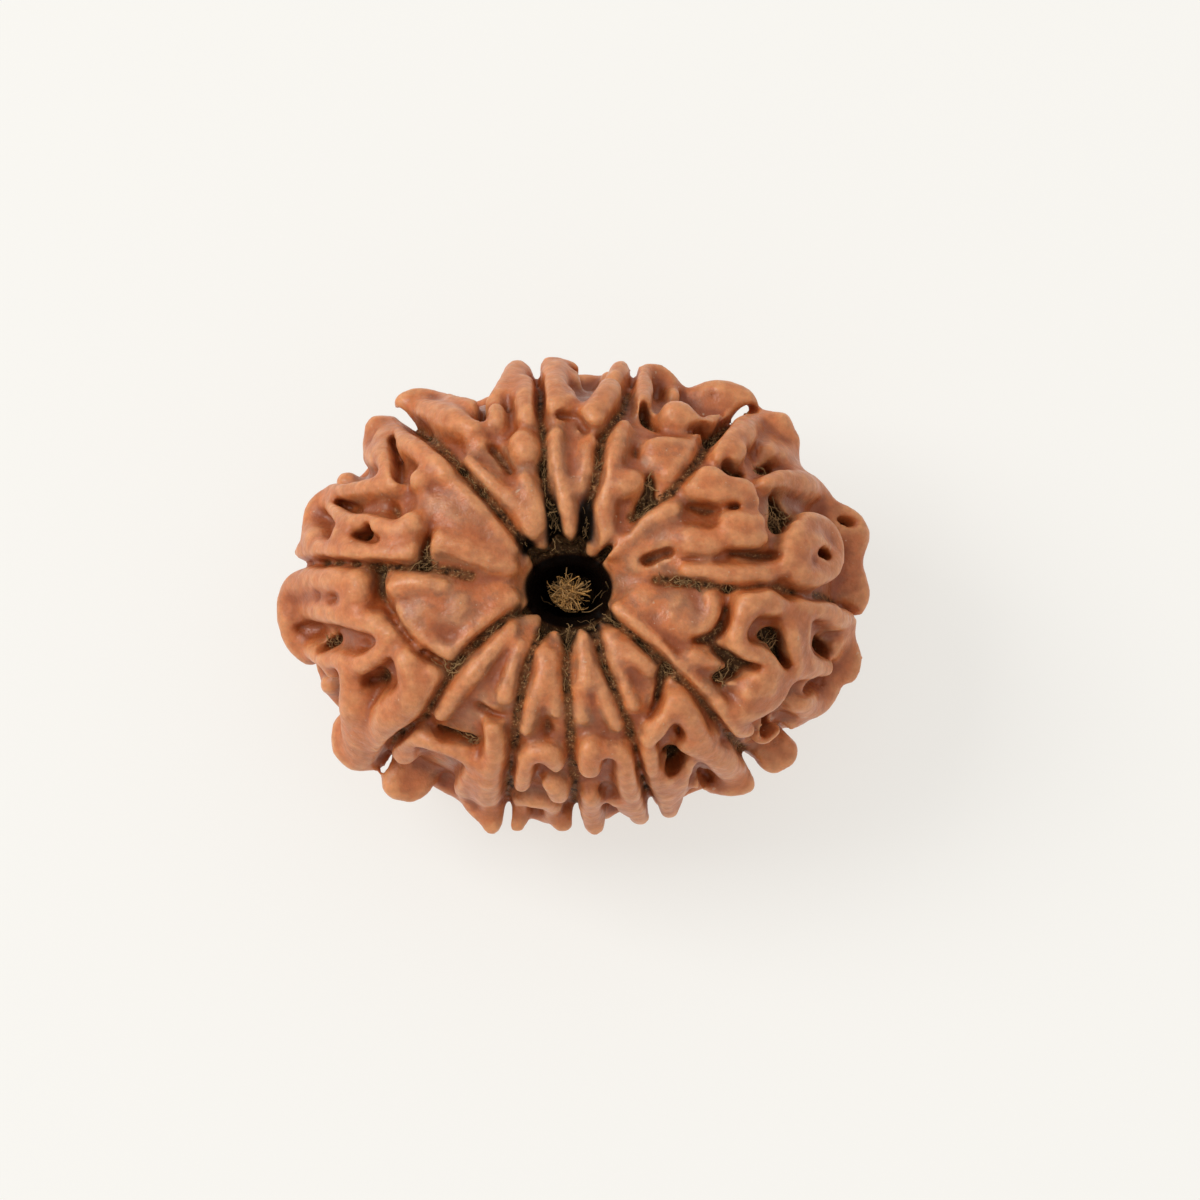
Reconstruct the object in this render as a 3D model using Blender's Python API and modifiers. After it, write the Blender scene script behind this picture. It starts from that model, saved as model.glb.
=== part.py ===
"""Rudraksha bead: the stone of the fruit of Elaeocarpus ganitrus, with eleven lobes.

The form is worked out in millimetres and set down in metres at the end. It starts as a turned core, oval
in plan, with the stringing hole through it. Swells, ridges and knobs are raised on the core, furrows and pits
are cut out of it, and the edges are then worn round.
"""

import math
from random import Random

import bmesh
import bpy
from mathutils import Matrix, Vector
from mathutils.bvhtree import BVHTree

METRES_IN_A_MM = 0.001

# Driving sizes, in millimetres. The hole's mouth lies a little off the middle, and is squashed by a share.
CORE_HALF_WIDTH = 10.3
CORE_HALF_DEPTH = 8.2
CORE_HALF_HEIGHT = 6.6
HOLE_RADIUS = 0.8
MOUTH_RADIUS = 1.6
MOUTH_PLACE = (-0.25, -0.3)
MOUTH_SQUASH = 0.2
FURROW_DEPTH = 0.55
NOTCH_DEPTH = 1.9
# A furrow that starts further from the middle than this doesn't open into the hole
LONGEST_NOTCH = 3.9
# How wide furrows are cut beside what is drawn, and how much cuts open out on each side above the core:
# ever more up to the flare's top, and less round the side, down to the least share
FURROW_WIDTH = 0.6
FURROW_FLARE = 0.5
PIT_FLARE = 0.15
FLARE_TOP = 0.55
LEAST_FLARE = 0.5
NARROWEST_CUT = 0.11
# The flat spot it rests on: where it is looked for, how far round, and how deep it is cut
REST_SPOT = (0.0, -0.6)
REST_SPOT_RADIUS = 2.2
REST_SPOT_CUT = 0.7

# How the bead lies: its hole leans this far forward from upright, in degrees
LEAN = 11.0
# The lobes' places are given as they look from a sight line this far forward of the hole's axis, in degrees
SIGHT = 6.0
# and from this far away, in millimetres
SIGHT_DISTANCE = 300.0

# Fineness of the surface, in millimetres, how often it is rubbed round before and after the cuts, and its size
# in triangles
GRAIN = 0.14
CUT_GRAIN = 0.12
SWELL_ROUNDS = 6
WEAR_ROUNDS = 12
TRIANGLES = 11400

# How high the tops of swells and the middles of ridges ride on the core, in millimetres, and how much fuller
# than drawn the ridges are
SWELL_TOP = 0.5
CREST_LIFT = 0.25
RIDGE_LIFT = 0.55
FAR_LIFT = 0.55
FULLNESS = 1.28
CREST_FULLNESS = 1.2
# How deep pits go beside what is drawn, and the depth of far pits in millimetres
PIT_SHARE = 0.5
FAR_PIT_DEPTH = 0.8
# The far half, in degrees: where its furrows reach the far mouth, how far those at the corners wind, and when
# a lobe gets a third crest
FAR_RISE = -68.0
WINDING = 6.0
WIDE_LOBE = 36.0
SEED = 11

COLOUR = (0.42, 0.19, 0.09, 1.0)
ROUGHNESS = 0.55


# Furrows, from the hole outwards: across, up, half width. Each then runs on round the side to the far mouth.
FURROWS = (
    ((-4.2, 0.75, 0.22), (-5.0, 0.95, 0.18), (-6.0, 1.05, 0.16), (-7.5, 1.1, 0.18), (-8.5, 1.2, 0.2),
     (-9.7, 1.25, 0.22), (-10.6, 1.2, 0.2)),
    ((-1.9, 1.9, 0.3), (-2.5, 2.6, 0.17), (-3.1, 3.4, 0.2), (-3.8, 4.2, 0.24), (-4.6, 5.1, 0.25),
     (-5.0, 5.55, 0.22), (-5.55, 6.05, 0.18), (-6.3, 6.5, 0.2), (-6.85, 6.95, 0.2), (-7.2, 7.25, 0.16)),
    ((-0.8, 2.2, 0.35), (-0.85, 3.0, 0.33), (-1.1, 4.0, 0.25), (-1.3, 5.0, 0.3), (-1.22, 5.8, 0.22),
     (-1.35, 6.8, 0.25), (-1.35, 7.8, 0.2), (-1.5, 8.5, 0.18)),
    ((0.4, 2.4, 0.28), (0.45, 3.3, 0.2), (0.8, 4.3, 0.22), (0.95, 5.2, 0.24), (1.05, 6.0, 0.25),
     (1.35, 6.6, 0.2), (1.8, 7.2, 0.2), (2.1, 7.8, 0.2), (2.3, 8.5, 0.15)),
    ((2.3, 3.1, 0.16), (3.1, 3.6, 0.2), (3.7, 3.95, 0.15), (4.3, 4.6, 0.14), (4.9, 5.3, 0.2),
     (5.2, 5.9, 0.25), (5.6, 6.3, 0.28), (6.3, 6.8, 0.2), (7.0, 7.2, 0.16), (7.4, 7.55, 0.12)),
    ((3.3, 0.6, 0.12), (4.2, 0.55, 0.25), (5.0, 0.45, 0.2), (6.0, 0.3, 0.2), (6.9, 0.3, 0.13),
     (7.7, 0.4, 0.15), (8.3, 0.2, 0.22), (9.0, 0.0, 0.2), (9.8, -0.1, 0.18), (10.4, -0.45, 0.15),
     (10.85, -0.85, 0.12), (11.1, -1.15, 0.1)),
    ((1.3, -0.9, 0.3), (1.9, -1.3, 0.25), (2.6, -1.9, 0.25), (3.2, -2.4, 0.25), (3.9, -3.1, 0.2),
     (4.6, -3.7, 0.17), (5.2, -4.4, 0.18), (5.8, -5.2, 0.18), (6.3, -5.8, 0.2), (6.8, -6.3, 0.2),
     (7.2, -6.8, 0.2)),
    ((0.65, -1.2, 0.22), (0.95, -1.9, 0.2), (1.15, -2.8, 0.23), (1.5, -3.6, 0.22), (1.8, -4.4, 0.18),
     (2.1, -5.1, 0.18), (2.35, -5.9, 0.2), (2.55, -6.8, 0.18), (2.8, -7.6, 0.2), (3.05, -8.4, 0.2)),
    ((-0.25, -1.3, 0.3), (-0.3, -2.2, 0.25), (-0.35, -3.2, 0.26), (-0.25, -4.2, 0.22), (-0.2, -5.0, 0.2),
     (-0.15, -6.0, 0.18), (-0.05, -7.0, 0.17), (0.0, -8.0, 0.18), (0.1, -8.8, 0.2)),
    ((-1.35, -1.6, 0.25), (-1.75, -2.3, 0.15), (-1.95, -3.0, 0.2), (-2.1, -3.8, 0.2), (-2.25, -4.6, 0.2),
     (-2.35, -5.4, 0.18), (-2.45, -6.2, 0.2), (-2.55, -7.0, 0.16), (-2.6, -7.8, 0.16), (-2.7, -8.5, 0.16)),
    ((-2.4, -0.7, 0.2), (-3.2, -1.3, 0.2), (-3.9, -1.9, 0.24), (-4.6, -2.6, 0.24), (-5.0, -3.2, 0.18),
     (-5.4, -3.9, 0.16), (-5.9, -4.7, 0.2), (-6.6, -5.2, 0.2), (-7.1, -5.6, 0.24), (-7.4, -6.2, 0.18),
     (-7.7, -6.7, 0.12)),
)

# Broad swells that fill the inner faces: across, up, radius
SWELLS = (
    ((-3.3, 1.9, 0.9), (-4.5, 2.8, 1.2), (-5.4, 3.4, 1.2)),
    ((3.3, 5.2, 0.8), (4.1, 5.6, 0.7)),
    ((2.7, 1.5, 1.0), (3.9, 2.1, 1.2)),
    ((2.8, -0.4, 1.0), (3.9, -0.9, 1.4), (4.5, -1.1, 1.2)),
    ((-3.2, -0.3, 1.1), (-4.6, -0.7, 1.6), (-5.8, -0.7, 1.3)),
)

# Low crests on the inner faces: across, up, radius
CRESTS = (
    # first lobe, upper left
    ((-5.4, 2.1, 0.45), (-4.6, 1.9, 0.45), (-3.6, 1.5, 0.4), (-2.6, 1.1, 0.35)),
    ((-5.1, 4.6, 0.3), (-4.2, 3.9, 0.3), (-3.3, 2.9, 0.3), (-2.5, 1.9, 0.3)),
    # second lobe
    ((-4.3, 5.4, 0.25), (-3.6, 4.7, 0.3), (-2.8, 4.0, 0.3), (-2.2, 3.4, 0.3), (-1.7, 2.6, 0.35)),
    ((-2.0, 4.6, 0.3), (-1.65, 3.8, 0.3), (-1.4, 3.0, 0.3)),
    ((-2.1, 6.1, 0.45), (-2.0, 5.7, 0.5)),
    ((-4.2, 6.0, 0.25), (-3.6, 6.0, 0.25)),
    # third lobe
    ((-0.75, 6.5, 0.25), (-0.75, 5.5, 0.28), (-0.5, 4.4, 0.28), (-0.28, 3.2, 0.28), (-0.22, 2.4, 0.25)),
    ((0.45, 6.0, 0.2), (0.45, 5.2, 0.22), (0.2, 4.3, 0.22)),
    # fourth lobe
    ((2.0, 6.8, 0.28), (1.7, 6.0, 0.32), (1.45, 5.2, 0.35), (1.25, 4.3, 0.35), (1.2, 3.4, 0.35),
     (1.25, 2.6, 0.35), (1.3, 1.9, 0.3)),
    ((2.3, 4.55, 0.45), (1.9, 4.4, 0.45)),
    ((4.75, 6.05, 0.22), (4.2, 5.4, 0.28), (3.7, 4.8, 0.3)),
    ((3.1, 6.0, 0.3), (4.0, 5.95, 0.35), (4.6, 6.0, 0.25)),
    # fifth lobe
    ((1.3, 1.7, 0.3), (1.9, 2.05, 0.3), (2.6, 2.65, 0.3), (3.3, 3.15, 0.3), (3.9, 3.4, 0.3)),
    ((4.6, 2.2, 0.5), (5.4, 2.1, 0.5)),
    ((4.4, 1.0, 0.25), (5.4, 0.9, 0.3), (6.4, 0.85, 0.32), (7.3, 0.8, 0.35), (8.0, 1.0, 0.3)),
    # sixth lobe
    ((1.7, -0.6, 0.3), (2.2, -1.1, 0.35), (2.9, -1.75, 0.35), (3.6, -2.45, 0.33), (4.3, -3.1, 0.3),
     (4.9, -3.6, 0.28), (5.35, -3.8, 0.25)),
    ((5.4, -0.1, 0.3), (5.5, -0.7, 0.3), (5.1, -1.3, 0.28)),
    ((4.7, -2.5, 0.3), (5.3, -2.65, 0.25), (5.7, -2.75, 0.2)),
    # seventh lobe
    ((1.3, -1.6, 0.25), (1.9, -2.25, 0.33), (2.5, -2.6, 0.35), (3.0, -3.05, 0.25)),
    ((1.5, -2.4, 0.22), (1.95, -3.4, 0.22), (2.35, -4.5, 0.25)),
    # eighth lobe
    ((0.3, -1.6, 0.22), (0.4, -2.6, 0.3), (0.5, -3.4, 0.35)),
    ((0.9, -3.2, 0.25), (1.35, -4.5, 0.25), (1.7, -5.3, 0.22)),
    ((0.2, -3.6, 0.2), (0.3, -5.0, 0.2)),
    # ninth lobe
    ((-1.45, -2.0, 0.22), (-1.25, -2.8, 0.28), (-1.4, -3.6, 0.28), (-1.8, -4.6, 0.28), (-2.0, -5.4, 0.25)),
    ((-0.95, -2.4, 0.25), (-0.9, -3.6, 0.25), (-0.75, -4.8, 0.2)),
    # tenth lobe
    ((-2.5, -1.3, 0.25), (-3.1, -2.0, 0.28), (-3.8, -2.8, 0.3), (-4.5, -3.6, 0.3), (-5.0, -4.3, 0.33),
     (-5.35, -4.8, 0.3)),
    ((-2.2, -2.0, 0.22), (-2.6, -3.2, 0.25), (-2.8, -4.1, 0.3)),
    # eleventh lobe
    ((-7.2, 0.35, 0.38), (-6.2, 0.5, 0.35), (-5.3, 0.35, 0.3)),
    ((-7.0, -0.5, 0.2), (-6.5, -1.2, 0.22), (-5.7, -1.9, 0.25), (-5.0, -2.35, 0.25)),
    ((-4.9, -2.3, 0.25), (-4.1, -1.6, 0.28), (-3.2, -0.8, 0.3), (-2.5, -0.1, 0.3)),
)

# Ridges and knobs that stand high on the flanks: across, up, radius
RIDGES = (
    # first lobe
    ((-10.7, 1.7, 0.45), (-9.6, 1.8, 0.36), (-8.5, 1.65, 0.35), (-7.5, 1.6, 0.4), (-6.5, 1.65, 0.42)),
    ((-10.3, 2.1, 0.45), (-10.35, 2.75, 0.5), (-10.4, 3.3, 0.38), (-10.0, 3.85, 0.35), (-9.2, 4.1, 0.3),
     (-8.3, 4.3, 0.33), (-7.6, 4.35, 0.3)),
    ((-10.0, 3.8, 0.25), (-9.5, 3.3, 0.26), (-8.9, 2.9, 0.33), (-8.2, 2.95, 0.28), (-7.6, 2.7, 0.33),
     (-7.0, 2.5, 0.4), (-6.5, 2.9, 0.4)),
    ((-9.3, 2.4, 0.4), (-9.0, 2.1, 0.35)),
    ((-7.4, 6.6, 0.45), (-7.6, 5.8, 0.4), (-7.45, 5.0, 0.32), (-7.2, 4.4, 0.28)),
    ((-7.9, 6.7, 0.45), (-8.05, 6.0, 0.42), (-7.9, 5.4, 0.3)),
    ((-7.3, 6.6, 0.4), (-6.85, 6.15, 0.34), (-6.2, 5.7, 0.4), (-5.6, 5.25, 0.38), (-5.2, 4.85, 0.3)),
    ((-6.2, 4.6, 0.4),),
    # second lobe
    ((-6.3, 7.4, 0.42), (-5.5, 7.15, 0.5), (-4.7, 6.85, 0.48), (-4.1, 6.6, 0.4)),
    ((-6.8, 7.6, 0.4), (-6.2, 7.9, 0.38), (-5.5, 7.8, 0.34), (-4.7, 7.6, 0.28), (-3.9, 7.5, 0.28)),
    ((-3.15, 7.35, 0.33), (-3.1, 6.95, 0.3)),
    ((-2.3, 8.8, 0.52), (-2.6, 8.3, 0.46), (-3.05, 7.8, 0.36)),
    ((-2.05, 8.35, 0.4), (-1.95, 7.7, 0.42), (-1.9, 7.1, 0.36)),
    # third lobe
    ((-0.7, 7.45, 0.5), (-0.85, 8.2, 0.48), (-0.75, 8.95, 0.5)),
    ((-0.3, 7.6, 0.4), (-0.2, 8.0, 0.25)),
    ((-1.0, 9.15, 0.4), (-1.1, 8.7, 0.25)),
    ((-0.2, 9.0, 0.33), (0.0, 8.6, 0.22)),
    ((0.4, 7.05, 0.33), (0.85, 7.3, 0.48), (1.25, 7.9, 0.5), (1.4, 8.2, 0.42)),
    ((0.9, 6.8, 0.35),),
    ((1.5, 8.5, 0.33), (1.85, 9.05, 0.33)),
    # fourth lobe
    ((2.75, 7.5, 0.25), (2.75, 8.2, 0.33), (3.0, 8.9, 0.35), (3.4, 8.8, 0.25), (3.7, 8.3, 0.22),
     (4.0, 8.0, 0.22)),
    ((3.4, 9.05, 0.22), (3.85, 8.65, 0.22), (4.2, 8.15, 0.22)),
    ((4.0, 7.2, 0.5), (4.4, 7.05, 0.45), (4.9, 6.75, 0.33), (5.3, 6.8, 0.25)),
    ((4.8, 7.95, 0.35), (5.6, 8.0, 0.52), (6.4, 7.85, 0.5), (6.9, 7.6, 0.42), (6.5, 7.15, 0.3),
     (5.8, 6.95, 0.3), (5.3, 6.95, 0.25)),
    ((6.9, 7.75, 0.34),),
    # fifth lobe
    ((5.75, 5.5, 0.25), (6.0, 6.0, 0.35), (6.6, 6.35, 0.45), (7.4, 6.75, 0.5), (8.1, 6.7, 0.5),
     (8.35, 6.0, 0.42), (8.1, 5.5, 0.35)),
    ((7.7, 6.2, 0.42), (7.7, 5.7, 0.3)),
    ((6.5, 5.8, 0.35), (6.4, 5.4, 0.25)),
    ((8.3, 7.0, 0.3),),
    ((8.7, 6.2, 0.33), (8.7, 5.7, 0.25)),
    ((4.7, 4.4, 0.28), (5.3, 4.8, 0.35), (5.9, 4.4, 0.35), (6.8, 4.2, 0.38), (7.15, 3.75, 0.28)),
    ((5.0, 4.15, 0.3), (5.7, 4.05, 0.4), (6.5, 3.9, 0.38)),
    ((7.6, 4.45, 0.26), (8.3, 4.6, 0.38), (9.0, 4.4, 0.45), (9.7, 3.95, 0.45), (10.1, 3.55, 0.38)),
    ((8.7, 5.2, 0.3), (8.8, 4.7, 0.35)),
    ((6.1, 3.0, 0.28), (6.8, 2.95, 0.32), (7.4, 2.95, 0.28)),
    ((6.1, 2.5, 0.3), (6.6, 2.2, 0.28), (7.15, 2.28, 0.36), (7.5, 2.3, 0.28)),
    ((8.35, 1.2, 0.3), (8.6, 1.8, 0.36), (8.75, 2.4, 0.38), (9.1, 2.8, 0.4), (9.7, 2.7, 0.45),
     (10.1, 2.2, 0.5), (10.2, 1.5, 0.5), (9.9, 0.9, 0.42), (9.2, 0.75, 0.4), (8.8, 1.0, 0.4)),
    ((8.9, 1.4, 0.4), (9.2, 2.1, 0.5), (9.8, 1.7, 0.45)),
    ((10.3, 3.5, 0.28), (10.7, 3.3, 0.33), (11.1, 2.95, 0.38), (11.35, 2.35, 0.4), (11.2, 1.8, 0.36),
     (11.1, 1.2, 0.36), (11.25, 0.5, 0.42), (11.3, -0.1, 0.46), (11.15, -0.6, 0.38)),
    ((10.1, 3.1, 0.3), (10.5, 2.3, 0.38), (10.8, 1.9, 0.4), (10.8, 1.1, 0.42), (10.8, 0.4, 0.42),
     (10.8, -0.1, 0.36)),
    # sixth lobe
    ((8.5, -0.5, 0.25), (7.9, -0.4, 0.42), (7.1, -0.25, 0.48), (6.75, -0.7, 0.42), (6.5, -1.3, 0.36),
     (6.45, -1.9, 0.36), (6.8, -2.25, 0.33), (7.3, -2.4, 0.33), (7.75, -2.7, 0.33), (8.15, -3.2, 0.3)),
    ((8.5, -1.1, 0.28), (8.6, -1.7, 0.4), (8.7, -2.3, 0.4), (8.75, -2.9, 0.38)),
    ((8.8, -0.55, 0.33), (9.7, -0.55, 0.38), (10.4, -0.95, 0.38), (10.8, -1.5, 0.38), (10.4, -2.0, 0.25),
     (10.35, -2.6, 0.3), (10.4, -3.2, 0.33)),
    ((9.1, -1.3, 0.35), (9.1, -2.0, 0.3), (9.3, -2.7, 0.35), (10.0, -2.9, 0.35)),
    ((11.0, -1.8, 0.25), (11.15, -2.5, 0.3), (10.95, -3.2, 0.3)),
    ((8.3, -3.25, 0.3), (9.0, -3.15, 0.28), (9.7, -3.0, 0.3)),
    ((8.9, -4.15, 0.5), (9.7, -4.15, 0.5), (10.1, -3.65, 0.42)),
    ((6.2, -3.5, 0.22),),
    ((7.3, -3.15, 0.35), (7.6, -3.6, 0.5), (6.9, -3.85, 0.42)),
    ((5.75, -4.35, 0.3), (5.95, -4.95, 0.3), (6.4, -5.35, 0.35), (6.9, -5.4, 0.3)),
    ((6.6, -4.6, 0.5), (7.3, -4.4, 0.45), (7.9, -4.1, 0.4), (8.3, -3.8, 0.3)),
    ((7.5, -5.6, 0.38), (7.9, -5.35, 0.33)),
    ((7.6, -6.4, 0.42), (8.0, -6.7, 0.42), (8.05, -6.25, 0.4)),
    ((8.6, -6.2, 0.33), (8.5, -6.6, 0.3)),
    ((8.65, -5.1, 0.28), (9.1, -4.9, 0.24)),
    # seventh lobe
    ((2.9, -5.75, 0.3), (3.2, -5.4, 0.38), (3.6, -4.8, 0.33), (4.0, -4.2, 0.33), (4.45, -4.7, 0.38),
     (4.8, -5.4, 0.42), (5.2, -6.0, 0.42), (5.9, -6.6, 0.48), (6.5, -7.2, 0.52), (6.8, -7.5, 0.42)),
    ((4.5, -5.9, 0.38), (4.9, -6.2, 0.3)),
    ((3.0, -6.2, 0.28), (3.1, -7.0, 0.3), (3.5, -7.8, 0.33), (3.8, -8.6, 0.33)),
    ((4.6, -6.7, 0.22), (4.3, -7.4, 0.26), (4.05, -8.1, 0.28)),
    ((3.7, -7.2, 0.38), (3.8, -7.8, 0.35)),
    ((4.9, -7.5, 0.22), (5.6, -7.65, 0.28), (6.3, -7.8, 0.3)),
    # eighth lobe
    ((0.6, -6.15, 0.38), (0.6, -6.9, 0.42)),
    ((1.4, -6.2, 0.28), (1.95, -6.4, 0.35), (2.1, -7.2, 0.38), (2.3, -8.0, 0.38), (2.6, -8.85, 0.36)),
    ((0.6, -8.0, 0.35), (0.65, -8.6, 0.38), (0.8, -9.2, 0.35)),
    ((1.6, -8.2, 0.22), (1.95, -8.5, 0.25)),
    # ninth lobe
    ((-2.15, -7.6, 0.3), (-2.1, -7.1, 0.33), (-1.95, -6.6, 0.33), (-1.5, -6.3, 0.25), (-0.95, -6.45, 0.4),
     (-0.75, -6.85, 0.3)),
    ((-1.2, -7.4, 0.22), (-0.85, -7.55, 0.36), (-0.65, -8.0, 0.36)),
    ((-2.3, -9.2, 0.3), (-2.2, -8.6, 0.28), (-1.8, -8.2, 0.28), (-1.2, -8.3, 0.28), (-0.75, -8.8, 0.33),
     (-0.45, -9.15, 0.33)),
    # tenth lobe
    ((-6.8, -6.4, 0.35), (-6.3, -5.65, 0.35), (-5.6, -5.85, 0.35), (-5.0, -6.1, 0.32), (-4.4, -6.4, 0.32),
     (-3.9, -6.7, 0.35)),
    ((-3.3, -5.3, 0.35), (-3.2, -6.2, 0.38), (-3.4, -7.0, 0.42), (-3.5, -7.8, 0.45), (-3.4, -8.6, 0.42),
     (-3.35, -9.2, 0.35)),
    ((-4.1, -6.9, 0.3), (-4.4, -7.6, 0.33), (-4.2, -8.2, 0.3), (-3.8, -8.7, 0.3)),
    ((-6.9, -6.8, 0.38), (-7.3, -7.5, 0.45), (-6.9, -7.85, 0.33), (-6.4, -7.9, 0.33), (-6.0, -7.7, 0.28)),
    # eleventh lobe
    ((-8.6, 0.45, 0.38), (-9.5, 0.55, 0.42), (-10.6, 0.5, 0.48), (-11.3, 0.0, 0.5), (-11.4, -0.9, 0.45),
     (-11.1, -1.9, 0.4), (-10.6, -2.4, 0.38)),
    ((-10.8, -0.5, 0.4), (-9.6, -0.75, 0.4), (-8.6, -0.95, 0.4), (-7.9, -1.2, 0.38)),
    ((-9.0, -0.2, 0.38), (-8.6, 0.0, 0.35)),
    ((-10.6, -2.0, 0.38), (-10.0, -2.5, 0.35), (-9.2, -2.65, 0.35), (-8.6, -2.8, 0.35), (-8.0, -2.5, 0.3),
     (-7.6, -2.1, 0.3), (-7.4, -1.6, 0.35)),
    ((-9.7, -3.1, 0.28),),
    ((-8.9, -3.2, 0.45), (-8.6, -4.2, 0.7), (-8.4, -5.2, 0.8), (-8.4, -6.2, 0.75)),
    ((-9.2, -5.3, 0.45), (-9.2, -6.0, 0.48), (-8.8, -6.6, 0.4)),
    ((-6.7, -2.6, 0.5), (-6.4, -3.7, 0.6), (-7.2, -4.7, 0.7), (-7.7, -5.7, 0.55)),
    ((-5.6, -3.0, 0.28), (-6.0, -4.0, 0.33), (-6.9, -4.8, 0.38), (-7.6, -5.5, 0.33), (-8.0, -6.4, 0.36)),
)

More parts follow.
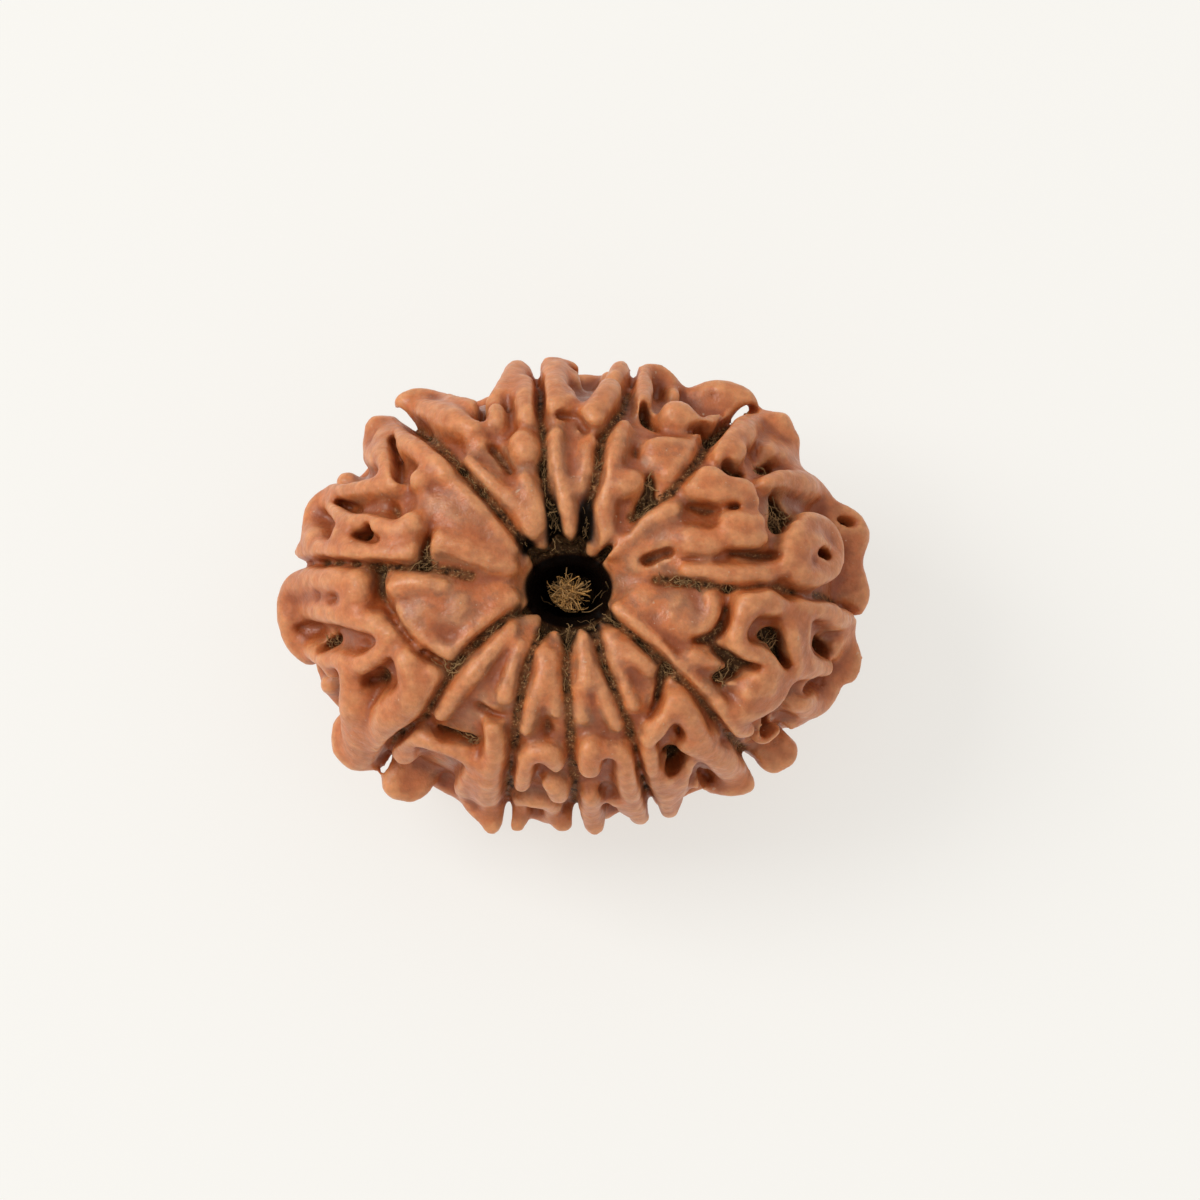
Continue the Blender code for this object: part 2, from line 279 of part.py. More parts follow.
# Pits, hollows and cross grooves: depth, then across, up, radius
PITS = (
    # first lobe
    (0.5, (-6.0, 1.2, 0.22), (-5.95, 2.0, 0.2), (-5.7, 2.6, 0.15)),
    (0.3, (-9.1, 3.5, 0.15), (-8.8, 3.45, 0.2), (-8.45, 3.25, 0.18)),
    (0.4, (-10.35, 3.4, 0.16),),
    (0.8, (-8.55, 2.3, 0.15), (-8.25, 2.3, 0.24), (-8.0, 2.65, 0.18)),
    (0.4, (-7.3, 3.5, 0.28), (-7.05, 3.1, 0.2)),
    (0.8, (-6.95, 5.8, 0.15), (-6.9, 5.0, 0.18), (-6.85, 4.4, 0.18)),
    # second lobe
    (0.4, (-3.3, 5.9, 0.25), (-2.8, 5.3, 0.25), (-2.5, 4.8, 0.18)),
    (0.6, (-3.6, 7.35, 0.15), (-3.75, 6.7, 0.2)),
    (0.1, (-2.75, 7.5, 0.1), (-2.65, 7.1, 0.12)),
    # third lobe
    (0.4, (-0.1, 8.6, 0.18), (0.15, 8.4, 0.18)),
    (0.2, (-0.7, 6.9, 0.14), (0.0, 6.9, 0.16), (0.4, 6.5, 0.16), (0.8, 6.35, 0.14)),
    # fourth lobe
    (0.4, (2.4, 5.9, 0.18), (2.5, 5.3, 0.18)),
    (0.7, (2.95, 4.8, 0.18), (2.95, 4.1, 0.24), (2.5, 3.5, 0.18)),
    (0.6, (2.7, 7.3, 0.2), (2.9, 6.9, 0.3), (3.5, 6.5, 0.16)),
    (0.5, (4.4, 6.35, 0.12), (5.1, 6.4, 0.2)),
    (0.4, (5.1, 7.6, 0.12), (5.3, 7.3, 0.14)),
    (0.5, (3.5, 8.9, 0.1), (3.75, 8.4, 0.1)),
    # fifth lobe
    (0.8, (5.9, 5.1, 0.2), (6.3, 4.85, 0.24), (6.7, 4.85, 0.2)),
    (0.8, (7.35, 4.9, 0.26), (7.7, 5.0, 0.2)),
    (1.5, (7.8, 3.9, 0.22), (8.1, 3.4, 0.4), (8.0, 2.7, 0.35)),
    (1.3, (8.4, 3.1, 0.3),),
    (0.35, (4.5, 3.6, 0.18), (5.2, 3.4, 0.26), (5.8, 3.4, 0.15), (6.6, 3.45, 0.13), (7.2, 3.3, 0.12)),
    (0.4, (6.1, 1.7, 0.16), (6.8, 1.65, 0.18), (7.3, 1.6, 0.22), (7.9, 1.55, 0.22)),
    (0.9, (9.3, 1.6, 0.2), (9.55, 1.48, 0.22)),
    (0.5, (10.25, 2.95, 0.15), (10.5, 2.65, 0.2)),
    (0.3, (2.8, 1.35, 0.25), (3.3, 1.55, 0.22), (3.9, 1.75, 0.18)),
    # sixth lobe
    (0.6, (6.1, 0.0, 0.15), (6.0, -0.8, 0.18), (5.7, -1.5, 0.24), (5.2, -1.8, 0.26), (4.6, -1.8, 0.18)),
    (0.7, (5.6, -2.15, 0.18), (6.1, -2.45, 0.24), (6.7, -2.8, 0.22), (7.2, -2.75, 0.15)),
    (0.8, (5.6, -3.35, 0.2), (6.0, -3.2, 0.26), (6.4, -3.1, 0.24)),
    (0.7, (5.85, -3.8, 0.2),),
    (1.4, (7.4, -1.65, 0.2), (7.85, -1.6, 0.32), (8.0, -2.2, 0.28), (8.2, -2.7, 0.18)),
    (1.1, (9.6, -1.75, 0.2), (9.75, -2.2, 0.26)),
    (0.4, (10.8, -2.2, 0.12),),
    (0.5, (8.55, -3.65, 0.14), (9.0, -3.5, 0.14), (9.5, -3.35, 0.1)),
    (0.7, (7.2, -5.25, 0.18), (7.5, -5.05, 0.22)),
    (0.5, (7.5, -4.85, 0.15), (8.2, -4.65, 0.15)),
    # seventh lobe
    (0.6, (3.45, -3.2, 0.22), (3.4, -3.8, 0.24), (3.1, -4.6, 0.18), (2.8, -4.9, 0.12)),
    (0.6, (4.12, -5.15, 0.15), (4.1, -5.5, 0.15)),
    (0.9, (3.6, -6.2, 0.2), (4.1, -6.2, 0.27), (3.8, -6.65, 0.3)),
    (0.7, (4.95, -6.85, 0.15), (4.65, -7.4, 0.15), (4.4, -8.0, 0.15)),
    (0.6, (5.1, -7.0, 0.18), (5.3, -7.2, 0.15)),
    # eighth lobe
    (0.6, (1.4, -6.9, 0.18),),
    (1.0, (1.4, -7.95, 0.22), (1.3, -8.4, 0.18)),
    (0.4, (0.9, -7.55, 0.14), (1.3, -7.45, 0.16)),
    # ninth lobe
    (0.3, (-1.1, -5.0, 0.24), (-1.1, -5.5, 0.26)),
    (0.6, (-1.3, -6.95, 0.2),),
    # tenth lobe
    (0.35, (-3.5, -3.55, 0.12),),
    (0.4, (-3.9, -4.4, 0.26), (-3.4, -4.7, 0.18), (-2.8, -4.8, 0.14)),
    (0.8, (-5.7, -5.1, 0.14), (-5.2, -5.4, 0.22), (-4.6, -5.6, 0.18), (-4.0, -5.8, 0.26)),
    (0.25, (-3.8, -7.8, 0.12), (-3.7, -8.0, 0.1)),
    (0.3, (-6.3, -7.75, 0.18),),
    # eleventh lobe
    (0.6, (-7.85, 0.9, 0.26), (-7.85, 0.1, 0.22)),
    (0.4, (-7.85, 0.1, 0.22), (-7.35, -0.7, 0.2), (-6.8, -1.4, 0.16), (-6.1, -2.2, 0.16), (-5.2, -2.75, 0.2)),
    (0.35, (-9.8, 0.0, 0.2),),
    (0.7, (-10.4, -1.2, 0.15), (-10.0, -1.25, 0.15)),
    (0.8, (-9.75, -2.0, 0.2), (-9.4, -1.75, 0.26)),
    (0.7, (-8.5, -1.9, 0.14), (-8.15, -2.1, 0.18)),
    (0.5, (-8.1, -3.4, 0.2), (-7.6, -3.3, 0.26), (-7.7, -2.9, 0.18)),
)


def clear_scene():
    for item in list(bpy.data.objects):
        bpy.data.objects.remove(item, do_unlink=True)


def collection_named(name):
    collection = bpy.data.collections.new(name)
    bpy.context.scene.collection.children.link(collection)
    return collection


def mesh_of(item):
    """The object's mesh as its modifiers leave it."""
    graph = bpy.context.evaluated_depsgraph_get()
    return bpy.data.meshes.new_from_object(item.evaluated_get(graph))


def finished(item):
    """The object with its modifiers made real."""
    mesh = mesh_of(item)
    item.modifiers.clear()
    item.data = mesh
    return item


def core_profile():
    """The half section of the core, out of the hole over the top and round the side, as radius and height."""
    top = CORE_HALF_HEIGHT
    bore = [(HOLE_RADIUS, 0.0), (HOLE_RADIUS, 0.35 * top), (0.75 * MOUTH_RADIUS, 0.5 * top)]
    bore += [(0.97 * MOUTH_RADIUS, 0.7 * top), (1.02 * MOUTH_RADIUS, 0.9 * top)]
    side = [(0.24, 0.97), (0.36, 0.995), (0.48, 1.0), (0.6, 0.975), (0.71, 0.9), (0.81, 0.775)]
    side += [(0.89, 0.62), (0.95, 0.43), (0.985, 0.22), (1.0, 0.0)]
    upper = bore + [(share * CORE_HALF_WIDTH, rise * top) for share, rise in side]
    lower = [(radius, -height) for radius, height in reversed(upper[1:-1])]
    return upper + lower


def turned_core(home):
    """The core, turned round the hole's axis and then pressed oval."""
    profile = core_profile()
    mesh = bpy.data.meshes.new("core")
    form = bmesh.new()
    corners = [form.verts.new((radius, 0.0, height)) for radius, height in profile]
    for first, second in zip(corners, corners[1:] + corners[:1]):
        form.edges.new((first, second))
    form.to_mesh(mesh)
    form.free()
    core = bpy.data.objects.new("core", mesh)
    home.objects.link(core)
    screw = core.modifiers.new("turn", "SCREW")
    screw.axis = "Z"
    screw.steps = screw.render_steps = 48
    screw.use_merge_vertices = True
    screw.merge_threshold = 0.0001
    soften = core.modifiers.new("soften", "SUBSURF")
    soften.levels = soften.render_levels = 2
    finished(core)
    squeeze = CORE_HALF_DEPTH / CORE_HALF_WIDTH
    for vertex in core.data.vertices:
        reach = math.hypot(vertex.co.x, vertex.co.y)
        share = min(1.0, max(0.0, (reach - HOLE_RADIUS) / (0.5 * CORE_HALF_WIDTH)))
        vertex.co.y *= 1.0 + (squeeze - 1.0) * share
        near = max(0.0, min(1.0, 2.0 - 0.5 * reach)) * max(0.0, min(1.0, 0.5 * vertex.co.z - 0.5))
        vertex.co.x += MOUTH_PLACE[0] * near
        vertex.co.y += (MOUTH_PLACE[1] - MOUTH_SQUASH * vertex.co.y) * near
    return core


class Core:
    """Finds places on the core from where they look to be, and from directions out of its middle."""

    def __init__(self, core):
        mesh = core.data
        self.tree = BVHTree.FromPolygons(
            [vertex.co for vertex in mesh.vertices], [list(face.vertices) for face in mesh.polygons]
        )
        sight = math.radians(SIGHT)
        self.eye = Vector((0.0, -math.sin(sight), math.cos(sight))) * SIGHT_DISTANCE
        self.up = Vector((0.0, math.cos(sight), math.sin(sight)))
        self.toward_eye = self.eye.normalized()

    def seen(self, across, up, lift):
        """The first place on the sight line that is `lift` above the core, or the nearest that it comes."""
        aim = (Vector((across, 0.0, 0.0)) + self.up * up - self.eye).normalized()
        best, least = None, 1e9
        start, step = SIGHT_DISTANCE - 12.0, 0.06
        for count in range(int(24.0 / step)):
            place = self.eye + aim * (start + step * count)
            foot, normal, _, gap = self.tree.find_nearest(place)
            if (place - foot).dot(normal) < 0.0:
                gap = -gap
            if gap < least:
                best, least = (place, foot, normal), gap
            if gap <= lift:
                break
        place, foot, normal = best
        if least > 0.05:
            normal = (place - foot).normalized()
        return place, normal

    def foot_of_cut(self, across, up):
        """The place where a cut goes in, and the way out: between the sight line and square to the surface."""
        place, normal = self.seen(across, up, 0.0)
        return place, (normal + self.toward_eye).normalized()

    def notch(self, place, ahead, width):
        """Places from inside the hole's mouth out along a furrow, for the notch that opens it to the hole."""
        middle = Vector((MOUTH_PLACE[0], MOUTH_PLACE[1], place.z))
        way = (ahead - middle).normalized()
        start = 0.4 * MOUTH_RADIUS
        reach = max(MOUTH_RADIUS + 0.5, (place - middle).length)
        up = Vector((0.0, 0.0, 1.0))
        steps = [(start, 0.5), (0.75 * MOUTH_RADIUS, 0.44), (MOUTH_RADIUS, 0.34)]
        steps += [(0.5 * (MOUTH_RADIUS + reach), 0.22), (reach, 0.14)]
        return [((middle + way * far + up * 0.15, up), width * radius) for far, radius in steps]

    def outside(self, turn, rise, lift):
        """The place `lift` above the core in a direction out of its middle, as two angles in degrees."""
        turn, rise = math.radians(turn), math.radians(max(rise, FAR_RISE))
        way = Vector((math.cos(turn) * math.cos(rise), math.sin(turn) * math.cos(rise), math.sin(rise)))
        foot, normal, _, _ = self.tree.ray_cast(way * 40.0, -way)
        return foot + normal * lift, normal


def ball_mesh():
    """A round ball of radius one."""
    form = bmesh.new()
    bmesh.ops.create_icosphere(form, subdivisions=2, radius=1.0)
    ball = bpy.data.meshes.new("ball")
    form.to_mesh(ball)
    form.free()
    return ball


def balls_at(name, paths, home):
    """One mesh with a copy of the ball at every point of the paths."""
    ball = ball_mesh()
    corners = [vertex.co.copy() for vertex in ball.vertices]
    faces = [list(face.vertices) for face in ball.polygons]
    points, sides = [], []
    for path in paths:
        for place, radius in path:
            first = len(points)
            points += [place + corner * radius for corner in corners]
            sides += [[first + number for number in face] for face in faces]
    mesh = bpy.data.meshes.new(name)
    mesh.from_pydata(points, [], sides)
    balls = bpy.data.objects.new(name, mesh)
    home.objects.link(balls)
    return balls


def tubes_of(name, paths, home):
    """One mesh of round bars with round ends, one along each path of (place, radius) points."""
    curve = bpy.data.curves.new(name, "CURVE")
    curve.dimensions = "3D"
    curve.resolution_u = 4
    curve.bevel_depth = 1.0
    curve.bevel_resolution = 3
    curve.use_fill_caps = True
    for path in paths:
        if len(path) < 2:
            continue
        spline = curve.splines.new("BEZIER")
        spline.bezier_points.add(len(path) - 1)
        for point, (place, radius) in zip(spline.bezier_points, path):
            point.co = place
            point.radius = radius
            point.handle_left_type = point.handle_right_type = "AUTO"
    guide = bpy.data.objects.new(name + "_guide", curve)
    home.objects.link(guide)
    bars = bpy.data.objects.new(name + "_bars", mesh_of(guide))
    home.objects.link(bars)
    bpy.data.objects.remove(guide, do_unlink=True)
    return joined(name, [bars, balls_at(name + "_balls", paths, home)], home)


def raised(tops):
    """The paths of a ridge: its top, and the copies under it that carry it down to the core."""
    paths = [[(place, radius) for (place, _), radius in tops]]
    for sink in (0.4, 0.8, 1.2):
        paths.append([(place - normal * sink, 1.05 * radius) for (place, normal), radius in tops])
    return paths


def openness(place):
    """How much of its flare a cut has at a place: all of it on top of the bead, and little round the side."""
    out = math.hypot(place.x / CORE_HALF_WIDTH, place.y / CORE_HALF_DEPTH)
    return max(LEAST_FLARE, min(1.0, 3.0 * (0.95 - out)))


def sunk(feet, depth, flare=0.0):
    """The paths of a cut: from above the surface, where the flare widens it, down to its depth."""
    paths = []
    level = 1.2
    while level > -depth:
        opening = flare * min(max(0.0, level), FLARE_TOP) ** 1.5
        paths.append([
            (place + normal * level, max(radius, NARROWEST_CUT) + opening * openness(place))
            for (place, normal), radius in feet
        ])
        level -= 0.25
    paths.append([
        (place - normal * depth, 0.85 * max(radius, NARROWEST_CUT)) for (place, normal), radius in feet
    ])
    return paths


def far_furrow(places, stroke, rng):
    """The directions along which a furrow runs on from where it goes out of sight to the far mouth."""
    across, up, _ = stroke[-1]
    end, _ = places.seen(across, up, 0.0)
    turn = math.degrees(math.atan2(end.y, end.x))
    start = math.degrees(math.atan2(end.z, math.hypot(end.x, end.y)))
    path = [(turn, start, 0.18)]
    rise = start - 11.0
    bend = WINDING * math.sin(math.radians(2.0 * turn))
    while rise > FAR_RISE:
        path.append((turn + bend + rng.uniform(-2.5, 2.5), rise, rng.uniform(0.17, 0.23)))
        rise -= 11.0
        bend *= -0.8
    path.append((turn, FAR_RISE, 0.24))
    return path


def inset(rise, gap):
    """The turn, in degrees, that is `gap` millimetres along the side at that rise."""
    return math.degrees(gap / (0.93 * CORE_HALF_WIDTH * math.cos(math.radians(rise))))


def far_crest(turn, side, rng):
    """A knobbly crest that follows one furrow down the far half of the bead, on one side of it."""
    path = []
    rise = -3.0 + SIGHT * math.sin(math.radians(turn))
    while rise > FAR_RISE:
        narrowing = 0.55 + 0.45 * math.cos(math.radians(rise))
        radius = narrowing * rng.uniform(0.34, 0.5)
        path.append((turn + side * inset(rise, rng.uniform(0.72, 0.95) * (0.5 + 0.5 * narrowing)), rise, radius))
        rise -= rng.uniform(7.0, 10.0)
    return path


def far_lobe(low_turn, high_turn, rng):
    """Ridges, knobs and pits on the far half of one lobe, between its furrows' turns."""
    middle = 0.5 * (low_turn + high_turn)
    span = high_turn - low_turn
    ridges = [far_crest(low_turn, 1.0, rng), far_crest(high_turn, -1.0, rng)]
    pits = []
    if span > WIDE_LOBE:
        spine = far_crest(middle, 0.0, rng)
        ridges.append([(turn + rng.uniform(-4.0, 4.0), rise, radius) for turn, rise, radius in spine])
    for side, edge in ((1.0, low_turn), (-1.0, high_turn)):
        for count in range(3):
            rise = rng.uniform(-50.0, -8.0)
            ridges.append([(edge + side * inset(rise, rng.uniform(0.8, 1.5)), rise, rng.uniform(0.5, 0.68))])
    rise = -12.0 + rng.uniform(-4.0, 4.0)
    while rise > FAR_RISE + 10.0:
        arch = rng.choice((-6.0, 6.0))
        reach = 0.5 * span - inset(rise, 0.8)
        if reach > 1.0:
            ridges.append([
                (middle - reach, rise, 0.33),
                (middle + rng.uniform(-3.0, 3.0), rise + arch, rng.uniform(0.34, 0.46)),
                (middle + reach, rise + rng.uniform(-4.0, 4.0), 0.33),
            ])
        gap = rng.uniform(14.0, 18.0)
        offset = 0.25 * span if span > WIDE_LOBE else 0.0
        for side in ((-1.0, 1.0) if offset else (0.0,)):
            pits.append([(middle + side * offset, rise - 0.5 * gap, rng.uniform(0.2, 0.3))])
        rise -= gap
    return ridges, pits


def from_middle(places, path, lift):
    """A far path as places `lift` above the core, each with its way out and its radius."""
    return [(places.outside(turn, rise, lift), radius) for turn, rise, radius in path]


def joined(name, items, home):
    """One mesh of several, with the originals removed."""
    form = bmesh.new()
    for item in items:
        form.from_mesh(item.data)
        bpy.data.objects.remove(item, do_unlink=True)
    mesh = bpy.data.meshes.new(name)
    form.to_mesh(mesh)
    form.free()
    whole = bpy.data.objects.new(name, mesh)
    home.objects.link(whole)
    return whole


def remesh(item, grain):
    """Turns overlapping shapes into one even skin."""
    skin = item.modifiers.new("skin", "REMESH")
    skin.mode = "VOXEL"
    skin.voxel_size = grain
    return finished(item)


def cut_from(item, cutter, solver):
    cut = item.modifiers.new("cut", "BOOLEAN")
    cut.operation = "DIFFERENCE"
    cut.object = cutter
    cut.solver = solver
    return finished(item)


def wear(item, rounds):
    """Rounds the edges as handling and oil do."""
    soften = item.modifiers.new("wear", "SMOOTH")
    soften.factor = 0.5
    soften.iterations = rounds
    return finished(item)


def relief_paths(places):
    """The bars to raise and the cuts to make, as paths of (place, radius)."""
    rng = Random(SEED)
    bars, cuts = [], []
    for stroke in SWELLS:
        bars.append([(places.seen(a, u, SWELL_TOP - r)[0], r) for a, u, r in stroke])
    for stroke in CRESTS:
        bars += raised([(places.seen(a, u, CREST_LIFT), CREST_FULLNESS * r) for a, u, r in stroke])
    for stroke in RIDGES:
        bars += raised([(places.seen(a, u, RIDGE_LIFT), FULLNESS * r) for a, u, r in stroke])
    for depth, *stroke in PITS:
        depth *= PIT_SHARE
        cuts += sunk([(places.foot_of_cut(a, u), r) for a, u, r in stroke], depth, PIT_FLARE)
    turns = []
    for stroke in FURROWS:
        feet = [(places.foot_of_cut(a, u), FURROW_WIDTH * r) for a, u, r in stroke]
        cuts += sunk(feet, FURROW_DEPTH, FURROW_FLARE)
        if math.hypot(stroke[0][0], stroke[0][1]) < LONGEST_NOTCH:
            cuts += sunk(places.notch(feet[0][0][0], feet[1][0][0], stroke[0][2] / 0.26), NOTCH_DEPTH)
        path = far_furrow(places, stroke, rng)
        path = [(turn, rise, FURROW_WIDTH * radius) for turn, rise, radius in path]
        cuts += sunk(from_middle(places, path, 0.0), FURROW_DEPTH, FURROW_FLARE)
        turns.append(path[-1][0])
    turns.sort()
    for low, high in zip(turns, turns[1:] + [turns[0] + 360.0]):
        ridges, pits = far_lobe(low, high, rng)
        for path in ridges:
            bars += raised(from_middle(places, path, FAR_LIFT))
        for path in pits:
            cuts += sunk(from_middle(places, path, 0.0), FAR_PIT_DEPTH)
    return bars, cuts


def carved_bead(home, shop):
    """The whole bead in millimetres, upright on its hole's axis."""
    core = turned_core(home)
    bars, cuts = relief_paths(Core(core))
    bead = joined("bead", [core, tubes_of("bars", bars, home)], home)
    wear(remesh(bead, GRAIN), SWELL_ROUNDS)
    cutter = remesh(tubes_of("cuts", cuts, shop), CUT_GRAIN)
    cutter.hide_render = True
    cutter.display_type = "WIRE"
    cut_from(bead, cutter, "MANIFOLD")
    bpy.data.objects.remove(cutter, do_unlink=True)
    remesh(bead, GRAIN)
    largest_piece(bead)
    return wear(bead, WEAR_ROUNDS)


def largest_piece(item):
    """Drops the crumbs and the sealed bubbles that the cutting left apart from the main skin."""
    form = bmesh.new()
    form.from_mesh(item.data)
    left = set(form.verts)
    pieces = []
    while left:
        front = [left.pop()]
        piece = list(front)
        while front:
            near = {edge.other_vert(vertex) for vertex in front for edge in vertex.link_edges} & left
            left -= near
            piece += near
            front = list(near)
        pieces.append(piece)
    pieces.sort(key=len)
    for piece in pieces[:-1]:
        bmesh.ops.delete(form, geom=piece, context="VERTS")
    form.to_mesh(item.data)
    form.free()


def thinned(item, triangles):
    """Fewer, larger triangles where the surface is smooth."""
    fewer = item.modifiers.new("fewer", "DECIMATE")
    item.data.calc_loop_triangles()
    fewer.ratio = triangles / len(item.data.loop_triangles)
    fewer.use_collapse_triangulate = True
    return finished(item)


def laid_down(item, home):
    """Leans the bead as it lies, and cuts the small flat spot that it rests on."""
    item.data.transform(Matrix.Rotation(math.radians(LEAN), 4, "X"))
    near = [v.co.z for v in item.data.vertices if (v.co.xy - Vector(REST_SPOT)).length < REST_SPOT_RADIUS]
    floor_level = min(near) + REST_SPOT_CUT
    form = bmesh.new()
    side = 60.0
    bmesh.ops.create_cube(form, size=side, matrix=Matrix.Translation((0.0, 0.0, floor_level - 0.5 * side)))
    mesh = bpy.data.meshes.new("ground")
    form.to_mesh(mesh)
    form.free()
    ground = bpy.data.objects.new("ground", mesh)
    home.objects.link(ground)
    cut_from(item, ground, "MANIFOLD")
    bpy.data.objects.remove(ground, do_unlink=True)
    return floor_level


def in_metres(item):
    """Centres the bead over the origin, standing on the ground, and sets it down in metres."""
    corners = [vertex.co for vertex in item.data.vertices]
    low = Vector([min(corner[axis] for corner in corners) for axis in range(3)])
    high = Vector([max(corner[axis] for corner in corners) for axis in range(3)])
    home = Vector((0.5 * (low.x + high.x), 0.5 * (low.y + high.y), low.z))
    item.data.transform(Matrix.Scale(METRES_IN_A_MM, 4) @ Matrix.Translation(-home))


def stone_material():
    """The waxy reddish-brown stone of the fruit."""
    stone = bpy.data.materials.new("Rudraksha stone")
    stone.use_nodes = True
    shader = stone.node_tree.nodes["Principled BSDF"]
    shader.inputs["Base Color"].default_value = COLOUR
    shader.inputs["Roughness"].default_value = ROUGHNESS
    shader.inputs["Metallic"].default_value = 0.0
    stone.diffuse_color = COLOUR
    return stone


def smooth_shaded(item):
    item.data.shade_smooth()
    item.data.set_sharp_from_angle(angle=math.radians(60.0))


def main():
    clear_scene()
    home = collection_named("rudraksha_bead")
    shop = collection_named("cutters")
    bead = carved_bead(home, shop)
    thinned(bead, TRIANGLES)
    laid_down(bead, shop)
    in_metres(bead)
    bead.data.materials.clear()
    bead.data.materials.append(stone_material())
    smooth_shaded(bead)


if __name__ == "__main__":
    main()
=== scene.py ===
"""Rudraksha bead: the finer form of the stone, its dried fibre, its waxy finish, and the studio it lies in."""

import math
from random import Random

import bmesh
import bpy
import numpy as np
from bpy.props import FloatProperty, FloatVectorProperty, IntProperty, PointerProperty
from mathutils import Matrix, Vector, kdtree
from mathutils.bvhtree import BVHTree


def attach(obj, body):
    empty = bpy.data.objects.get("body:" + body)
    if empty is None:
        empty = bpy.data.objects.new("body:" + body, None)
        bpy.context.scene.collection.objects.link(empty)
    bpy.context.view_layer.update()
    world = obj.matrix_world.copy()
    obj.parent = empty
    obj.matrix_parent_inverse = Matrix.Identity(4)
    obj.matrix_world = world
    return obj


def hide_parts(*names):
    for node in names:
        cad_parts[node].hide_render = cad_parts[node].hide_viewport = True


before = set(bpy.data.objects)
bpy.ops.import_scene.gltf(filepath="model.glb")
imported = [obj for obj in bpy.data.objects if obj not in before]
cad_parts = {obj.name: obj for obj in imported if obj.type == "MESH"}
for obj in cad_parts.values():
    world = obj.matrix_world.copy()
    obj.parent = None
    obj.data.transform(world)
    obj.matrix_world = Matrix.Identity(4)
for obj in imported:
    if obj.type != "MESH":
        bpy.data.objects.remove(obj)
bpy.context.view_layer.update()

bl_info = {
    "name": "Rudraksha bead",
    "version": (1, 0, 0),
    "blender": (4, 5, 0),
    "location": "3D View > Sidebar > Bead",
    "description": "Carves a rudraksha seed stone with its dried fibre, and sets it in a small studio",
    "category": "Add Mesh",
}

METRES_IN_A_MM = 0.001

# How the bead lies, and the sight line that its strokes are drawn from, in degrees and millimetres
LEAN = 11.0
SIGHT = 6.0
SIGHT_DISTANCE = 300.0

# The core's shape, in millimetres
CORE_HALF_WIDTH = 10.3
CORE_HALF_DEPTH = 8.2
CORE_HALF_HEIGHT = 6.6
HOLE_RADIUS = 0.8
MOUTH_RADIUS = 1.6
MOUTH_PLACE = (-0.25, -0.3)
MOUTH_SQUASH = 0.2

# How furrows and pits are cut, in millimetres
FURROW_DEPTH = 0.55
NOTCH_DEPTH = 1.9
# A furrow that starts further from the middle than this doesn't open into the hole
LONGEST_NOTCH = 3.9
FURROW_WIDTH = 0.6
FURROW_FLARE = 0.5
PIT_FLARE = 0.15
FLARE_TOP = 0.55
LEAST_FLARE = 0.5
NARROWEST_CUT = 0.11
PIT_SHARE = 0.5
FAR_PIT_DEPTH = 0.8

# How ridges stand, in millimetres
SWELL_TOP = 0.5
CREST_LIFT = 0.25
RIDGE_LIFT = 0.55
FAR_LIFT = 0.55
FULLNESS = 1.28
CREST_FULLNESS = 1.2
FAR_RISE = -68.0
WINDING = 6.0
WIDE_LOBE = 36.0
SEED = 11

# The flat spot it rests on, in millimetres
REST_SPOT = (0.0, -0.6)
REST_SPOT_RADIUS = 2.2
REST_SPOT_CUT = 0.7

# How finely the core is spun and the cuts are joined, and the gentle unevenness of the skin, in millimetres
SPIN_STEPS = 48
CUT_GRAIN = 0.12
SWELL_SIZE = 1.8
SWELL_HEIGHT = 0.2
# Rounds of smoothing that a point is measured against, to tell how sharp or how hollow its place is
CREASE_ROUNDS = 12
HOLLOW_ROUNDS = 70

# The dried fibre: points to a strand, strands to a stretch of furrow, and the tangle in the hole, in millimetres
STRAND_POINTS = 7
FURROW_STRANDS = 16
DEEP_STRANDS = 90
TUFT_STRANDS = 210
STRAY_STRANDS = 9
PLUG_PLACE = (-0.1, -0.1, 2.0)
PLUG_HALF_SIZES = (1.1, 1.1, 0.8)
TUFT_PLACE = (-0.3, -0.5)
TUFT_LEVEL = 4.4

# The studio, in metres, and the lens, whose shift puts the bead where the photograph has it
FLOOR_SIZE = 4.0
WINDOW_PLACE = (-0.44, 0.10, 0.50)
WINDOW_SIZE = 0.34
BEAD_MIDDLE_HEIGHT = 0.0074
SENSOR_MM = 36.0
LENS_MM = 225.0
LENS_SHIFT = (25 / 1200.0, -5 / 1200.0)


def linear(hex_colour):
    """An sRGB hex colour as linear red, green, blue and alpha."""
    values = [int(hex_colour[start:start + 2], 16) / 255.0 for start in (0, 2, 4)]
    return [v / 12.92 if v <= 0.04045 else ((v + 0.055) / 1.055) ** 2.4 for v in values] + [1.0]


